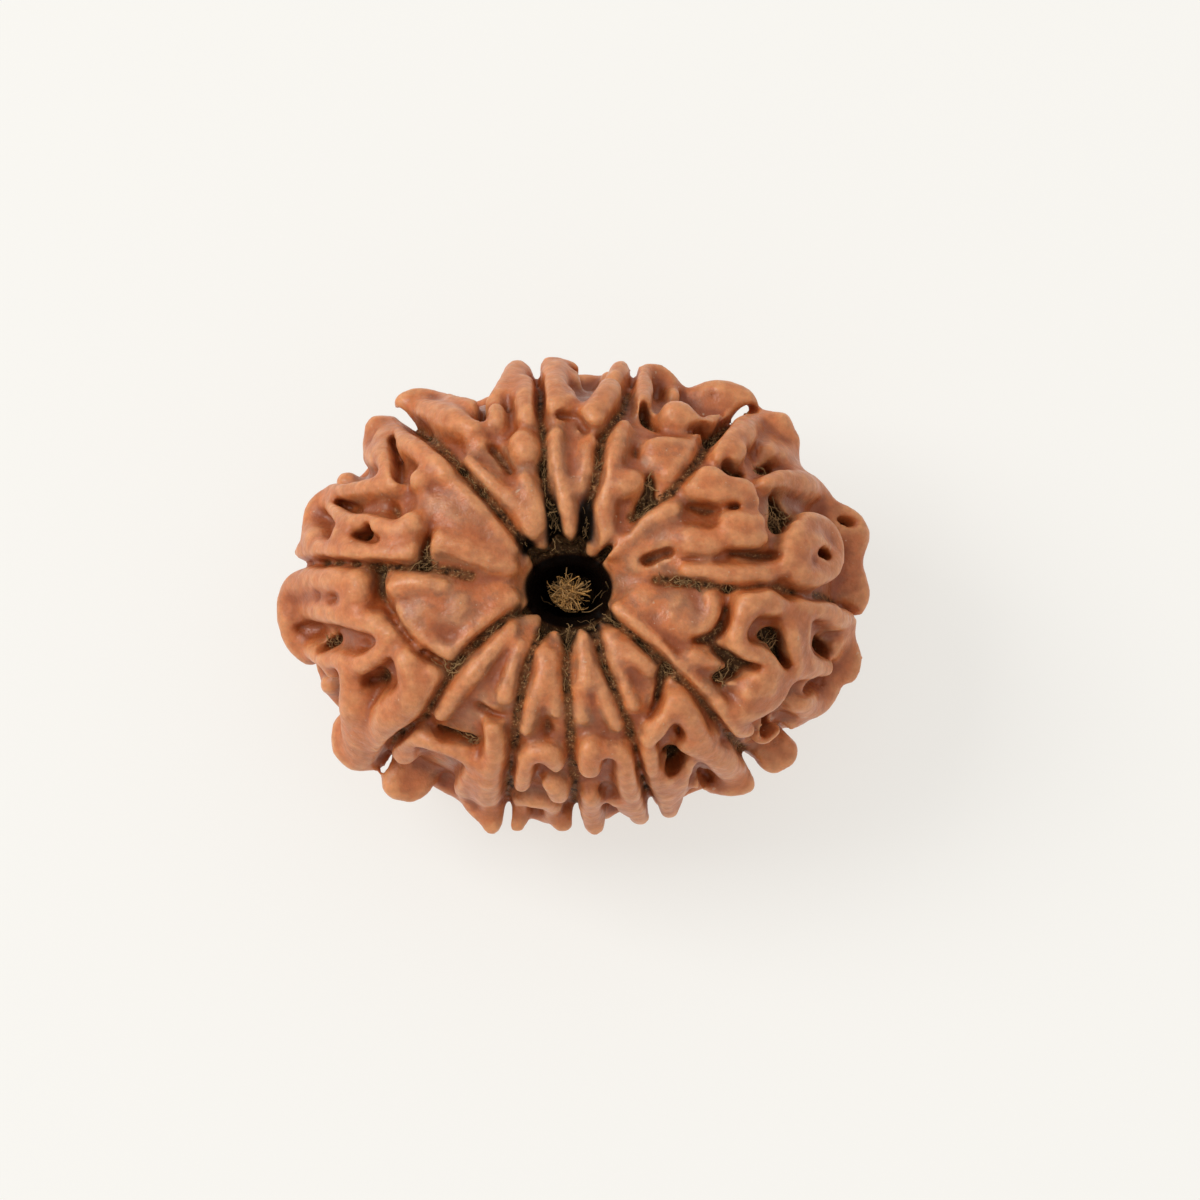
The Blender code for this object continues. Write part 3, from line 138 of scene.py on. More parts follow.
# Furrows, from the hole outwards: across, up, half width. Each then runs on round the side to the far mouth.
FURROWS = (
    ((-4.2, 0.75, 0.22), (-5.0, 0.95, 0.18), (-6.0, 1.05, 0.16), (-7.5, 1.1, 0.18), (-8.5, 1.2, 0.2),
     (-9.7, 1.25, 0.22), (-10.6, 1.2, 0.2)),
    ((-1.9, 1.9, 0.3), (-2.5, 2.6, 0.17), (-3.1, 3.4, 0.2), (-3.8, 4.2, 0.24), (-4.6, 5.1, 0.25),
     (-5.0, 5.55, 0.22), (-5.55, 6.05, 0.18), (-6.3, 6.5, 0.2), (-6.85, 6.95, 0.2), (-7.2, 7.25, 0.16)),
    ((-0.8, 2.2, 0.35), (-0.85, 3.0, 0.33), (-1.1, 4.0, 0.25), (-1.3, 5.0, 0.3), (-1.22, 5.8, 0.22),
     (-1.35, 6.8, 0.25), (-1.35, 7.8, 0.2), (-1.5, 8.5, 0.18)),
    ((0.4, 2.4, 0.28), (0.45, 3.3, 0.2), (0.8, 4.3, 0.22), (0.95, 5.2, 0.24), (1.05, 6.0, 0.25),
     (1.35, 6.6, 0.2), (1.8, 7.2, 0.2), (2.1, 7.8, 0.2), (2.3, 8.5, 0.15)),
    ((2.3, 3.1, 0.16), (3.1, 3.6, 0.2), (3.7, 3.95, 0.15), (4.3, 4.6, 0.14), (4.9, 5.3, 0.2),
     (5.2, 5.9, 0.25), (5.6, 6.3, 0.28), (6.3, 6.8, 0.2), (7.0, 7.2, 0.16), (7.4, 7.55, 0.12)),
    ((3.3, 0.6, 0.12), (4.2, 0.55, 0.25), (5.0, 0.45, 0.2), (6.0, 0.3, 0.2), (6.9, 0.3, 0.13),
     (7.7, 0.4, 0.15), (8.3, 0.2, 0.22), (9.0, 0.0, 0.2), (9.8, -0.1, 0.18), (10.4, -0.45, 0.15),
     (10.85, -0.85, 0.12), (11.1, -1.15, 0.1)),
    ((1.3, -0.9, 0.3), (1.9, -1.3, 0.25), (2.6, -1.9, 0.25), (3.2, -2.4, 0.25), (3.9, -3.1, 0.2),
     (4.6, -3.7, 0.17), (5.2, -4.4, 0.18), (5.8, -5.2, 0.18), (6.3, -5.8, 0.2), (6.8, -6.3, 0.2),
     (7.2, -6.8, 0.2)),
    ((0.65, -1.2, 0.22), (0.95, -1.9, 0.2), (1.15, -2.8, 0.23), (1.5, -3.6, 0.22), (1.8, -4.4, 0.18),
     (2.1, -5.1, 0.18), (2.35, -5.9, 0.2), (2.55, -6.8, 0.18), (2.8, -7.6, 0.2), (3.05, -8.4, 0.2)),
    ((-0.25, -1.3, 0.3), (-0.3, -2.2, 0.25), (-0.35, -3.2, 0.26), (-0.25, -4.2, 0.22), (-0.2, -5.0, 0.2),
     (-0.15, -6.0, 0.18), (-0.05, -7.0, 0.17), (0.0, -8.0, 0.18), (0.1, -8.8, 0.2)),
    ((-1.35, -1.6, 0.25), (-1.75, -2.3, 0.15), (-1.95, -3.0, 0.2), (-2.1, -3.8, 0.2), (-2.25, -4.6, 0.2),
     (-2.35, -5.4, 0.18), (-2.45, -6.2, 0.2), (-2.55, -7.0, 0.16), (-2.6, -7.8, 0.16), (-2.7, -8.5, 0.16)),
    ((-2.4, -0.7, 0.2), (-3.2, -1.3, 0.2), (-3.9, -1.9, 0.24), (-4.6, -2.6, 0.24), (-5.0, -3.2, 0.18),
     (-5.4, -3.9, 0.16), (-5.9, -4.7, 0.2), (-6.6, -5.2, 0.2), (-7.1, -5.6, 0.24), (-7.4, -6.2, 0.18),
     (-7.7, -6.7, 0.12)),
)

# Broad swells that fill the inner faces: across, up, radius
SWELLS = (
    ((-3.3, 1.9, 0.9), (-4.5, 2.8, 1.2), (-5.4, 3.4, 1.2)),
    ((3.3, 5.2, 0.8), (4.1, 5.6, 0.7)),
    ((2.7, 1.5, 1.0), (3.9, 2.1, 1.2)),
    ((2.8, -0.4, 1.0), (3.9, -0.9, 1.4), (4.5, -1.1, 1.2)),
    ((-3.2, -0.3, 1.1), (-4.6, -0.7, 1.6), (-5.8, -0.7, 1.3)),
)

# Low crests on the inner faces: across, up, radius
CRESTS = (
    # first lobe, upper left
    ((-5.4, 2.1, 0.45), (-4.6, 1.9, 0.45), (-3.6, 1.5, 0.4), (-2.6, 1.1, 0.35)),
    ((-5.1, 4.6, 0.3), (-4.2, 3.9, 0.3), (-3.3, 2.9, 0.3), (-2.5, 1.9, 0.3)),
    # second lobe
    ((-4.3, 5.4, 0.25), (-3.6, 4.7, 0.3), (-2.8, 4.0, 0.3), (-2.2, 3.4, 0.3), (-1.7, 2.6, 0.35)),
    ((-2.0, 4.6, 0.3), (-1.65, 3.8, 0.3), (-1.4, 3.0, 0.3)),
    ((-2.1, 6.1, 0.45), (-2.0, 5.7, 0.5)),
    ((-4.2, 6.0, 0.25), (-3.6, 6.0, 0.25)),
    # third lobe
    ((-0.75, 6.5, 0.25), (-0.75, 5.5, 0.28), (-0.5, 4.4, 0.28), (-0.28, 3.2, 0.28), (-0.22, 2.4, 0.25)),
    ((0.45, 6.0, 0.2), (0.45, 5.2, 0.22), (0.2, 4.3, 0.22)),
    # fourth lobe
    ((2.0, 6.8, 0.28), (1.7, 6.0, 0.32), (1.45, 5.2, 0.35), (1.25, 4.3, 0.35), (1.2, 3.4, 0.35),
     (1.25, 2.6, 0.35), (1.3, 1.9, 0.3)),
    ((2.3, 4.55, 0.45), (1.9, 4.4, 0.45)),
    ((4.75, 6.05, 0.22), (4.2, 5.4, 0.28), (3.7, 4.8, 0.3)),
    ((3.1, 6.0, 0.3), (4.0, 5.95, 0.35), (4.6, 6.0, 0.25)),
    # fifth lobe
    ((1.3, 1.7, 0.3), (1.9, 2.05, 0.3), (2.6, 2.65, 0.3), (3.3, 3.15, 0.3), (3.9, 3.4, 0.3)),
    ((4.6, 2.2, 0.5), (5.4, 2.1, 0.5)),
    ((4.4, 1.0, 0.25), (5.4, 0.9, 0.3), (6.4, 0.85, 0.32), (7.3, 0.8, 0.35), (8.0, 1.0, 0.3)),
    # sixth lobe
    ((1.7, -0.6, 0.3), (2.2, -1.1, 0.35), (2.9, -1.75, 0.35), (3.6, -2.45, 0.33), (4.3, -3.1, 0.3),
     (4.9, -3.6, 0.28), (5.35, -3.8, 0.25)),
    ((5.4, -0.1, 0.3), (5.5, -0.7, 0.3), (5.1, -1.3, 0.28)),
    ((4.7, -2.5, 0.3), (5.3, -2.65, 0.25), (5.7, -2.75, 0.2)),
    # seventh lobe
    ((1.3, -1.6, 0.25), (1.9, -2.25, 0.33), (2.5, -2.6, 0.35), (3.0, -3.05, 0.25)),
    ((1.5, -2.4, 0.22), (1.95, -3.4, 0.22), (2.35, -4.5, 0.25)),
    # eighth lobe
    ((0.3, -1.6, 0.22), (0.4, -2.6, 0.3), (0.5, -3.4, 0.35)),
    ((0.9, -3.2, 0.25), (1.35, -4.5, 0.25), (1.7, -5.3, 0.22)),
    ((0.2, -3.6, 0.2), (0.3, -5.0, 0.2)),
    # ninth lobe
    ((-1.45, -2.0, 0.22), (-1.25, -2.8, 0.28), (-1.4, -3.6, 0.28), (-1.8, -4.6, 0.28), (-2.0, -5.4, 0.25)),
    ((-0.95, -2.4, 0.25), (-0.9, -3.6, 0.25), (-0.75, -4.8, 0.2)),
    # tenth lobe
    ((-2.5, -1.3, 0.25), (-3.1, -2.0, 0.28), (-3.8, -2.8, 0.3), (-4.5, -3.6, 0.3), (-5.0, -4.3, 0.33),
     (-5.35, -4.8, 0.3)),
    ((-2.2, -2.0, 0.22), (-2.6, -3.2, 0.25), (-2.8, -4.1, 0.3)),
    # eleventh lobe
    ((-7.2, 0.35, 0.38), (-6.2, 0.5, 0.35), (-5.3, 0.35, 0.3)),
    ((-7.0, -0.5, 0.2), (-6.5, -1.2, 0.22), (-5.7, -1.9, 0.25), (-5.0, -2.35, 0.25)),
    ((-4.9, -2.3, 0.25), (-4.1, -1.6, 0.28), (-3.2, -0.8, 0.3), (-2.5, -0.1, 0.3)),
)

# Ridges and knobs that stand high on the flanks: across, up, radius
RIDGES = (
    # first lobe
    ((-10.7, 1.7, 0.45), (-9.6, 1.8, 0.36), (-8.5, 1.65, 0.35), (-7.5, 1.6, 0.4), (-6.5, 1.65, 0.42)),
    ((-10.3, 2.1, 0.45), (-10.35, 2.75, 0.5), (-10.4, 3.3, 0.38), (-10.0, 3.85, 0.35), (-9.2, 4.1, 0.3),
     (-8.3, 4.3, 0.33), (-7.6, 4.35, 0.3)),
    ((-10.0, 3.8, 0.25), (-9.5, 3.3, 0.26), (-8.9, 2.9, 0.33), (-8.2, 2.95, 0.28), (-7.6, 2.7, 0.33),
     (-7.0, 2.5, 0.4), (-6.5, 2.9, 0.4)),
    ((-9.3, 2.4, 0.4), (-9.0, 2.1, 0.35)),
    ((-7.4, 6.6, 0.45), (-7.6, 5.8, 0.4), (-7.45, 5.0, 0.32), (-7.2, 4.4, 0.28)),
    ((-7.9, 6.7, 0.45), (-8.05, 6.0, 0.42), (-7.9, 5.4, 0.3)),
    ((-7.3, 6.6, 0.4), (-6.85, 6.15, 0.34), (-6.2, 5.7, 0.4), (-5.6, 5.25, 0.38), (-5.2, 4.85, 0.3)),
    ((-6.2, 4.6, 0.4),),
    # second lobe
    ((-6.3, 7.4, 0.42), (-5.5, 7.15, 0.5), (-4.7, 6.85, 0.48), (-4.1, 6.6, 0.4)),
    ((-6.8, 7.6, 0.4), (-6.2, 7.9, 0.38), (-5.5, 7.8, 0.34), (-4.7, 7.6, 0.28), (-3.9, 7.5, 0.28)),
    ((-3.15, 7.35, 0.33), (-3.1, 6.95, 0.3)),
    ((-2.3, 8.8, 0.52), (-2.6, 8.3, 0.46), (-3.05, 7.8, 0.36)),
    ((-2.05, 8.35, 0.4), (-1.95, 7.7, 0.42), (-1.9, 7.1, 0.36)),
    # third lobe
    ((-0.7, 7.45, 0.5), (-0.85, 8.2, 0.48), (-0.75, 8.95, 0.5)),
    ((-0.3, 7.6, 0.4), (-0.2, 8.0, 0.25)),
    ((-1.0, 9.15, 0.4), (-1.1, 8.7, 0.25)),
    ((-0.2, 9.0, 0.33), (0.0, 8.6, 0.22)),
    ((0.4, 7.05, 0.33), (0.85, 7.3, 0.48), (1.25, 7.9, 0.5), (1.4, 8.2, 0.42)),
    ((0.9, 6.8, 0.35),),
    ((1.5, 8.5, 0.33), (1.85, 9.05, 0.33)),
    # fourth lobe
    ((2.75, 7.5, 0.25), (2.75, 8.2, 0.33), (3.0, 8.9, 0.35), (3.4, 8.8, 0.25), (3.7, 8.3, 0.22),
     (4.0, 8.0, 0.22)),
    ((3.4, 9.05, 0.22), (3.85, 8.65, 0.22), (4.2, 8.15, 0.22)),
    ((4.0, 7.2, 0.5), (4.4, 7.05, 0.45), (4.9, 6.75, 0.33), (5.3, 6.8, 0.25)),
    ((4.8, 7.95, 0.35), (5.6, 8.0, 0.52), (6.4, 7.85, 0.5), (6.9, 7.6, 0.42), (6.5, 7.15, 0.3),
     (5.8, 6.95, 0.3), (5.3, 6.95, 0.25)),
    ((6.9, 7.75, 0.34),),
    # fifth lobe
    ((5.75, 5.5, 0.25), (6.0, 6.0, 0.35), (6.6, 6.35, 0.45), (7.4, 6.75, 0.5), (8.1, 6.7, 0.5),
     (8.35, 6.0, 0.42), (8.1, 5.5, 0.35)),
    ((7.7, 6.2, 0.42), (7.7, 5.7, 0.3)),
    ((6.5, 5.8, 0.35), (6.4, 5.4, 0.25)),
    ((8.3, 7.0, 0.3),),
    ((8.7, 6.2, 0.33), (8.7, 5.7, 0.25)),
    ((4.7, 4.4, 0.28), (5.3, 4.8, 0.35), (5.9, 4.4, 0.35), (6.8, 4.2, 0.38), (7.15, 3.75, 0.28)),
    ((5.0, 4.15, 0.3), (5.7, 4.05, 0.4), (6.5, 3.9, 0.38)),
    ((7.6, 4.45, 0.26), (8.3, 4.6, 0.38), (9.0, 4.4, 0.45), (9.7, 3.95, 0.45), (10.1, 3.55, 0.38)),
    ((8.7, 5.2, 0.3), (8.8, 4.7, 0.35)),
    ((6.1, 3.0, 0.28), (6.8, 2.95, 0.32), (7.4, 2.95, 0.28)),
    ((6.1, 2.5, 0.3), (6.6, 2.2, 0.28), (7.15, 2.28, 0.36), (7.5, 2.3, 0.28)),
    ((8.35, 1.2, 0.3), (8.6, 1.8, 0.36), (8.75, 2.4, 0.38), (9.1, 2.8, 0.4), (9.7, 2.7, 0.45),
     (10.1, 2.2, 0.5), (10.2, 1.5, 0.5), (9.9, 0.9, 0.42), (9.2, 0.75, 0.4), (8.8, 1.0, 0.4)),
    ((8.9, 1.4, 0.4), (9.2, 2.1, 0.5), (9.8, 1.7, 0.45)),
    ((10.3, 3.5, 0.28), (10.7, 3.3, 0.33), (11.1, 2.95, 0.38), (11.35, 2.35, 0.4), (11.2, 1.8, 0.36),
     (11.1, 1.2, 0.36), (11.25, 0.5, 0.42), (11.3, -0.1, 0.46), (11.15, -0.6, 0.38)),
    ((10.1, 3.1, 0.3), (10.5, 2.3, 0.38), (10.8, 1.9, 0.4), (10.8, 1.1, 0.42), (10.8, 0.4, 0.42),
     (10.8, -0.1, 0.36)),
    # sixth lobe
    ((8.5, -0.5, 0.25), (7.9, -0.4, 0.42), (7.1, -0.25, 0.48), (6.75, -0.7, 0.42), (6.5, -1.3, 0.36),
     (6.45, -1.9, 0.36), (6.8, -2.25, 0.33), (7.3, -2.4, 0.33), (7.75, -2.7, 0.33), (8.15, -3.2, 0.3)),
    ((8.5, -1.1, 0.28), (8.6, -1.7, 0.4), (8.7, -2.3, 0.4), (8.75, -2.9, 0.38)),
    ((8.8, -0.55, 0.33), (9.7, -0.55, 0.38), (10.4, -0.95, 0.38), (10.8, -1.5, 0.38), (10.4, -2.0, 0.25),
     (10.35, -2.6, 0.3), (10.4, -3.2, 0.33)),
    ((9.1, -1.3, 0.35), (9.1, -2.0, 0.3), (9.3, -2.7, 0.35), (10.0, -2.9, 0.35)),
    ((11.0, -1.8, 0.25), (11.15, -2.5, 0.3), (10.95, -3.2, 0.3)),
    ((8.3, -3.25, 0.3), (9.0, -3.15, 0.28), (9.7, -3.0, 0.3)),
    ((8.9, -4.15, 0.5), (9.7, -4.15, 0.5), (10.1, -3.65, 0.42)),
    ((6.2, -3.5, 0.22),),
    ((7.3, -3.15, 0.35), (7.6, -3.6, 0.5), (6.9, -3.85, 0.42)),
    ((5.75, -4.35, 0.3), (5.95, -4.95, 0.3), (6.4, -5.35, 0.35), (6.9, -5.4, 0.3)),
    ((6.6, -4.6, 0.5), (7.3, -4.4, 0.45), (7.9, -4.1, 0.4), (8.3, -3.8, 0.3)),
    ((7.5, -5.6, 0.38), (7.9, -5.35, 0.33)),
    ((7.6, -6.4, 0.42), (8.0, -6.7, 0.42), (8.05, -6.25, 0.4)),
    ((8.6, -6.2, 0.33), (8.5, -6.6, 0.3)),
    ((8.65, -5.1, 0.28), (9.1, -4.9, 0.24)),
    # seventh lobe
    ((2.9, -5.75, 0.3), (3.2, -5.4, 0.38), (3.6, -4.8, 0.33), (4.0, -4.2, 0.33), (4.45, -4.7, 0.38),
     (4.8, -5.4, 0.42), (5.2, -6.0, 0.42), (5.9, -6.6, 0.48), (6.5, -7.2, 0.52), (6.8, -7.5, 0.42)),
    ((4.5, -5.9, 0.38), (4.9, -6.2, 0.3)),
    ((3.0, -6.2, 0.28), (3.1, -7.0, 0.3), (3.5, -7.8, 0.33), (3.8, -8.6, 0.33)),
    ((4.6, -6.7, 0.22), (4.3, -7.4, 0.26), (4.05, -8.1, 0.28)),
    ((3.7, -7.2, 0.38), (3.8, -7.8, 0.35)),
    ((4.9, -7.5, 0.22), (5.6, -7.65, 0.28), (6.3, -7.8, 0.3)),
    # eighth lobe
    ((0.6, -6.15, 0.38), (0.6, -6.9, 0.42)),
    ((1.4, -6.2, 0.28), (1.95, -6.4, 0.35), (2.1, -7.2, 0.38), (2.3, -8.0, 0.38), (2.6, -8.85, 0.36)),
    ((0.6, -8.0, 0.35), (0.65, -8.6, 0.38), (0.8, -9.2, 0.35)),
    ((1.6, -8.2, 0.22), (1.95, -8.5, 0.25)),
    # ninth lobe
    ((-2.15, -7.6, 0.3), (-2.1, -7.1, 0.33), (-1.95, -6.6, 0.33), (-1.5, -6.3, 0.25), (-0.95, -6.45, 0.4),
     (-0.75, -6.85, 0.3)),
    ((-1.2, -7.4, 0.22), (-0.85, -7.55, 0.36), (-0.65, -8.0, 0.36)),
    ((-2.3, -9.2, 0.3), (-2.2, -8.6, 0.28), (-1.8, -8.2, 0.28), (-1.2, -8.3, 0.28), (-0.75, -8.8, 0.33),
     (-0.45, -9.15, 0.33)),
    # tenth lobe
    ((-6.8, -6.4, 0.35), (-6.3, -5.65, 0.35), (-5.6, -5.85, 0.35), (-5.0, -6.1, 0.32), (-4.4, -6.4, 0.32),
     (-3.9, -6.7, 0.35)),
    ((-3.3, -5.3, 0.35), (-3.2, -6.2, 0.38), (-3.4, -7.0, 0.42), (-3.5, -7.8, 0.45), (-3.4, -8.6, 0.42),
     (-3.35, -9.2, 0.35)),
    ((-4.1, -6.9, 0.3), (-4.4, -7.6, 0.33), (-4.2, -8.2, 0.3), (-3.8, -8.7, 0.3)),
    ((-6.9, -6.8, 0.38), (-7.3, -7.5, 0.45), (-6.9, -7.85, 0.33), (-6.4, -7.9, 0.33), (-6.0, -7.7, 0.28)),
    # eleventh lobe
    ((-8.6, 0.45, 0.38), (-9.5, 0.55, 0.42), (-10.6, 0.5, 0.48), (-11.3, 0.0, 0.5), (-11.4, -0.9, 0.45),
     (-11.1, -1.9, 0.4), (-10.6, -2.4, 0.38)),
    ((-10.8, -0.5, 0.4), (-9.6, -0.75, 0.4), (-8.6, -0.95, 0.4), (-7.9, -1.2, 0.38)),
    ((-9.0, -0.2, 0.38), (-8.6, 0.0, 0.35)),
    ((-10.6, -2.0, 0.38), (-10.0, -2.5, 0.35), (-9.2, -2.65, 0.35), (-8.6, -2.8, 0.35), (-8.0, -2.5, 0.3),
     (-7.6, -2.1, 0.3), (-7.4, -1.6, 0.35)),
    ((-9.7, -3.1, 0.28),),
    ((-8.9, -3.2, 0.45), (-8.6, -4.2, 0.7), (-8.4, -5.2, 0.8), (-8.4, -6.2, 0.75)),
    ((-9.2, -5.3, 0.45), (-9.2, -6.0, 0.48), (-8.8, -6.6, 0.4)),
    ((-6.7, -2.6, 0.5), (-6.4, -3.7, 0.6), (-7.2, -4.7, 0.7), (-7.7, -5.7, 0.55)),
    ((-5.6, -3.0, 0.28), (-6.0, -4.0, 0.33), (-6.9, -4.8, 0.38), (-7.6, -5.5, 0.33), (-8.0, -6.4, 0.36)),
)

# Pits, hollows and cross grooves: depth, then across, up, radius
PITS = (
    # first lobe
    (0.5, (-6.0, 1.2, 0.22), (-5.95, 2.0, 0.2), (-5.7, 2.6, 0.15)),
    (0.3, (-9.1, 3.5, 0.15), (-8.8, 3.45, 0.2), (-8.45, 3.25, 0.18)),
    (0.4, (-10.35, 3.4, 0.16),),
    (0.8, (-8.55, 2.3, 0.15), (-8.25, 2.3, 0.24), (-8.0, 2.65, 0.18)),
    (0.4, (-7.3, 3.5, 0.28), (-7.05, 3.1, 0.2)),
    (0.8, (-6.95, 5.8, 0.15), (-6.9, 5.0, 0.18), (-6.85, 4.4, 0.18)),
    # second lobe
    (0.4, (-3.3, 5.9, 0.25), (-2.8, 5.3, 0.25), (-2.5, 4.8, 0.18)),
    (0.6, (-3.6, 7.35, 0.15), (-3.75, 6.7, 0.2)),
    (0.1, (-2.75, 7.5, 0.1), (-2.65, 7.1, 0.12)),
    # third lobe
    (0.4, (-0.1, 8.6, 0.18), (0.15, 8.4, 0.18)),
    (0.2, (-0.7, 6.9, 0.14), (0.0, 6.9, 0.16), (0.4, 6.5, 0.16), (0.8, 6.35, 0.14)),
    # fourth lobe
    (0.4, (2.4, 5.9, 0.18), (2.5, 5.3, 0.18)),
    (0.7, (2.95, 4.8, 0.18), (2.95, 4.1, 0.24), (2.5, 3.5, 0.18)),
    (0.6, (2.7, 7.3, 0.2), (2.9, 6.9, 0.3), (3.5, 6.5, 0.16)),
    (0.5, (4.4, 6.35, 0.12), (5.1, 6.4, 0.2)),
    (0.4, (5.1, 7.6, 0.12), (5.3, 7.3, 0.14)),
    (0.5, (3.5, 8.9, 0.1), (3.75, 8.4, 0.1)),
    # fifth lobe
    (0.8, (5.9, 5.1, 0.2), (6.3, 4.85, 0.24), (6.7, 4.85, 0.2)),
    (0.8, (7.35, 4.9, 0.26), (7.7, 5.0, 0.2)),
    (1.5, (7.8, 3.9, 0.22), (8.1, 3.4, 0.4), (8.0, 2.7, 0.35)),
    (1.3, (8.4, 3.1, 0.3),),
    (0.35, (4.5, 3.6, 0.18), (5.2, 3.4, 0.26), (5.8, 3.4, 0.15), (6.6, 3.45, 0.13), (7.2, 3.3, 0.12)),
    (0.4, (6.1, 1.7, 0.16), (6.8, 1.65, 0.18), (7.3, 1.6, 0.22), (7.9, 1.55, 0.22)),
    (0.9, (9.3, 1.6, 0.2), (9.55, 1.48, 0.22)),
    (0.5, (10.25, 2.95, 0.15), (10.5, 2.65, 0.2)),
    (0.3, (2.8, 1.35, 0.25), (3.3, 1.55, 0.22), (3.9, 1.75, 0.18)),
    # sixth lobe
    (0.6, (6.1, 0.0, 0.15), (6.0, -0.8, 0.18), (5.7, -1.5, 0.24), (5.2, -1.8, 0.26), (4.6, -1.8, 0.18)),
    (0.7, (5.6, -2.15, 0.18), (6.1, -2.45, 0.24), (6.7, -2.8, 0.22), (7.2, -2.75, 0.15)),
    (0.8, (5.6, -3.35, 0.2), (6.0, -3.2, 0.26), (6.4, -3.1, 0.24)),
    (0.7, (5.85, -3.8, 0.2),),
    (1.4, (7.4, -1.65, 0.2), (7.85, -1.6, 0.32), (8.0, -2.2, 0.28), (8.2, -2.7, 0.18)),
    (1.1, (9.6, -1.75, 0.2), (9.75, -2.2, 0.26)),
    (0.4, (10.8, -2.2, 0.12),),
    (0.5, (8.55, -3.65, 0.14), (9.0, -3.5, 0.14), (9.5, -3.35, 0.1)),
    (0.7, (7.2, -5.25, 0.18), (7.5, -5.05, 0.22)),
    (0.5, (7.5, -4.85, 0.15), (8.2, -4.65, 0.15)),
    # seventh lobe
    (0.6, (3.45, -3.2, 0.22), (3.4, -3.8, 0.24), (3.1, -4.6, 0.18), (2.8, -4.9, 0.12)),
    (0.6, (4.12, -5.15, 0.15), (4.1, -5.5, 0.15)),
    (0.9, (3.6, -6.2, 0.2), (4.1, -6.2, 0.27), (3.8, -6.65, 0.3)),
    (0.7, (4.95, -6.85, 0.15), (4.65, -7.4, 0.15), (4.4, -8.0, 0.15)),
    (0.6, (5.1, -7.0, 0.18), (5.3, -7.2, 0.15)),
    # eighth lobe
    (0.6, (1.4, -6.9, 0.18),),
    (1.0, (1.4, -7.95, 0.22), (1.3, -8.4, 0.18)),
    (0.4, (0.9, -7.55, 0.14), (1.3, -7.45, 0.16)),
    # ninth lobe
    (0.3, (-1.1, -5.0, 0.24), (-1.1, -5.5, 0.26)),
    (0.6, (-1.3, -6.95, 0.2),),
    # tenth lobe
    (0.35, (-3.5, -3.55, 0.12),),
    (0.4, (-3.9, -4.4, 0.26), (-3.4, -4.7, 0.18), (-2.8, -4.8, 0.14)),
    (0.8, (-5.7, -5.1, 0.14), (-5.2, -5.4, 0.22), (-4.6, -5.6, 0.18), (-4.0, -5.8, 0.26)),
    (0.25, (-3.8, -7.8, 0.12), (-3.7, -8.0, 0.1)),
    (0.3, (-6.3, -7.75, 0.18),),
    # eleventh lobe
    (0.6, (-7.85, 0.9, 0.26), (-7.85, 0.1, 0.22)),
    (0.4, (-7.85, 0.1, 0.22), (-7.35, -0.7, 0.2), (-6.8, -1.4, 0.16), (-6.1, -2.2, 0.16), (-5.2, -2.75, 0.2)),
    (0.35, (-9.8, 0.0, 0.2),),
    (0.7, (-10.4, -1.2, 0.15), (-10.0, -1.25, 0.15)),
    (0.8, (-9.75, -2.0, 0.2), (-9.4, -1.75, 0.26)),
    (0.7, (-8.5, -1.9, 0.14), (-8.15, -2.1, 0.18)),
    (0.5, (-8.1, -3.4, 0.2), (-7.6, -3.3, 0.26), (-7.7, -2.9, 0.18)),
)

# Where dried fibre has gathered thickly: across, up, spread, and how many strands
FIBRE_NESTS = (
    (4.6, 0.55, 1.0, 26), (6.0, 0.35, 0.7, 12), (-4.7, -2.8, 0.8, 20), (-3.95, -5.8, 0.3, 12), (7.5, 4.95, 0.5, 14),
    (8.1, 3.0, 0.6, 22), (-5.9, 1.5, 0.5, 16), (2.9, 4.5, 0.4, 8), (-9.6, -1.9, 0.4, 12), (-3.4, 4.4, 0.6, 8),
    (-0.85, 3.4, 0.5, 10), (7.8, -1.8, 0.4, 8), (5.9, -3.3, 0.4, 8), (-1.2, 5.6, 0.5, 8), (0.9, 5.0, 0.5, 8),
)

MADE = {}


class BeadForm(bpy.types.PropertyGroup):
    """Fineness and wear of the stone's surface."""

    grain: FloatProperty(
        name="Grain", description="Size of the facets the stone is carved from", default=0.00014, min=0.00008,
        unit="LENGTH", precision=5
    )
    wear_rounds: IntProperty(
        name="Wear", description="How often the edges are rubbed round", default=11, min=0, max=40
    )
    swell_rounds: IntProperty(
        name="Swell", description="How often the raised form is rubbed round before it is cut", default=6, min=0,
        max=40
    )
    triangles: IntProperty(
        name="Triangles", description="Most triangles in the finished stone", default=188000, min=20000, max=199000
    )


class BeadColours(bpy.types.PropertyGroup):
    """Colours of the stone and its fibre."""

    stone: FloatVectorProperty(
        name="Stone", description="The handled surface of the lobes", subtype="COLOR", default=linear("CB7642")[:3]
    )
    # Painted reddish glow, for light scattered and bounced in the hollows and down the sides of ridges
    painted_hollow_glow: FloatVectorProperty(
        name="Painted glow", description="Oiled sides of the ridges, where less dust lies", subtype="COLOR",
        default=linear("9B4B1E")[:3]
    )
    furrow: FloatVectorProperty(
        name="Furrow", description="Old flesh and dirt at the foot of the furrows", subtype="COLOR",
        default=linear("593F29")[:3]
    )
    dust: FloatVectorProperty(
        name="Dust", description="Greyish dust in the shallow hollows", subtype="COLOR",
        default=linear("A66E4B")[:3]
    )
    fibre: FloatVectorProperty(
        name="Fibre", description="Dried strands of the fruit's flesh", subtype="COLOR",
        default=linear("B59063")[:3]
    )


class BeadStage(bpy.types.PropertyGroup):
    """The studio around the bead."""

    side_light: FloatProperty(
        name="Side light", description="Strength of the soft window on the left", default=2.5, min=0.0,
        subtype="POWER"
    )
    sky: FloatProperty(name="Sky", description="Strength of the pale light all round", default=0.68, min=0.0)


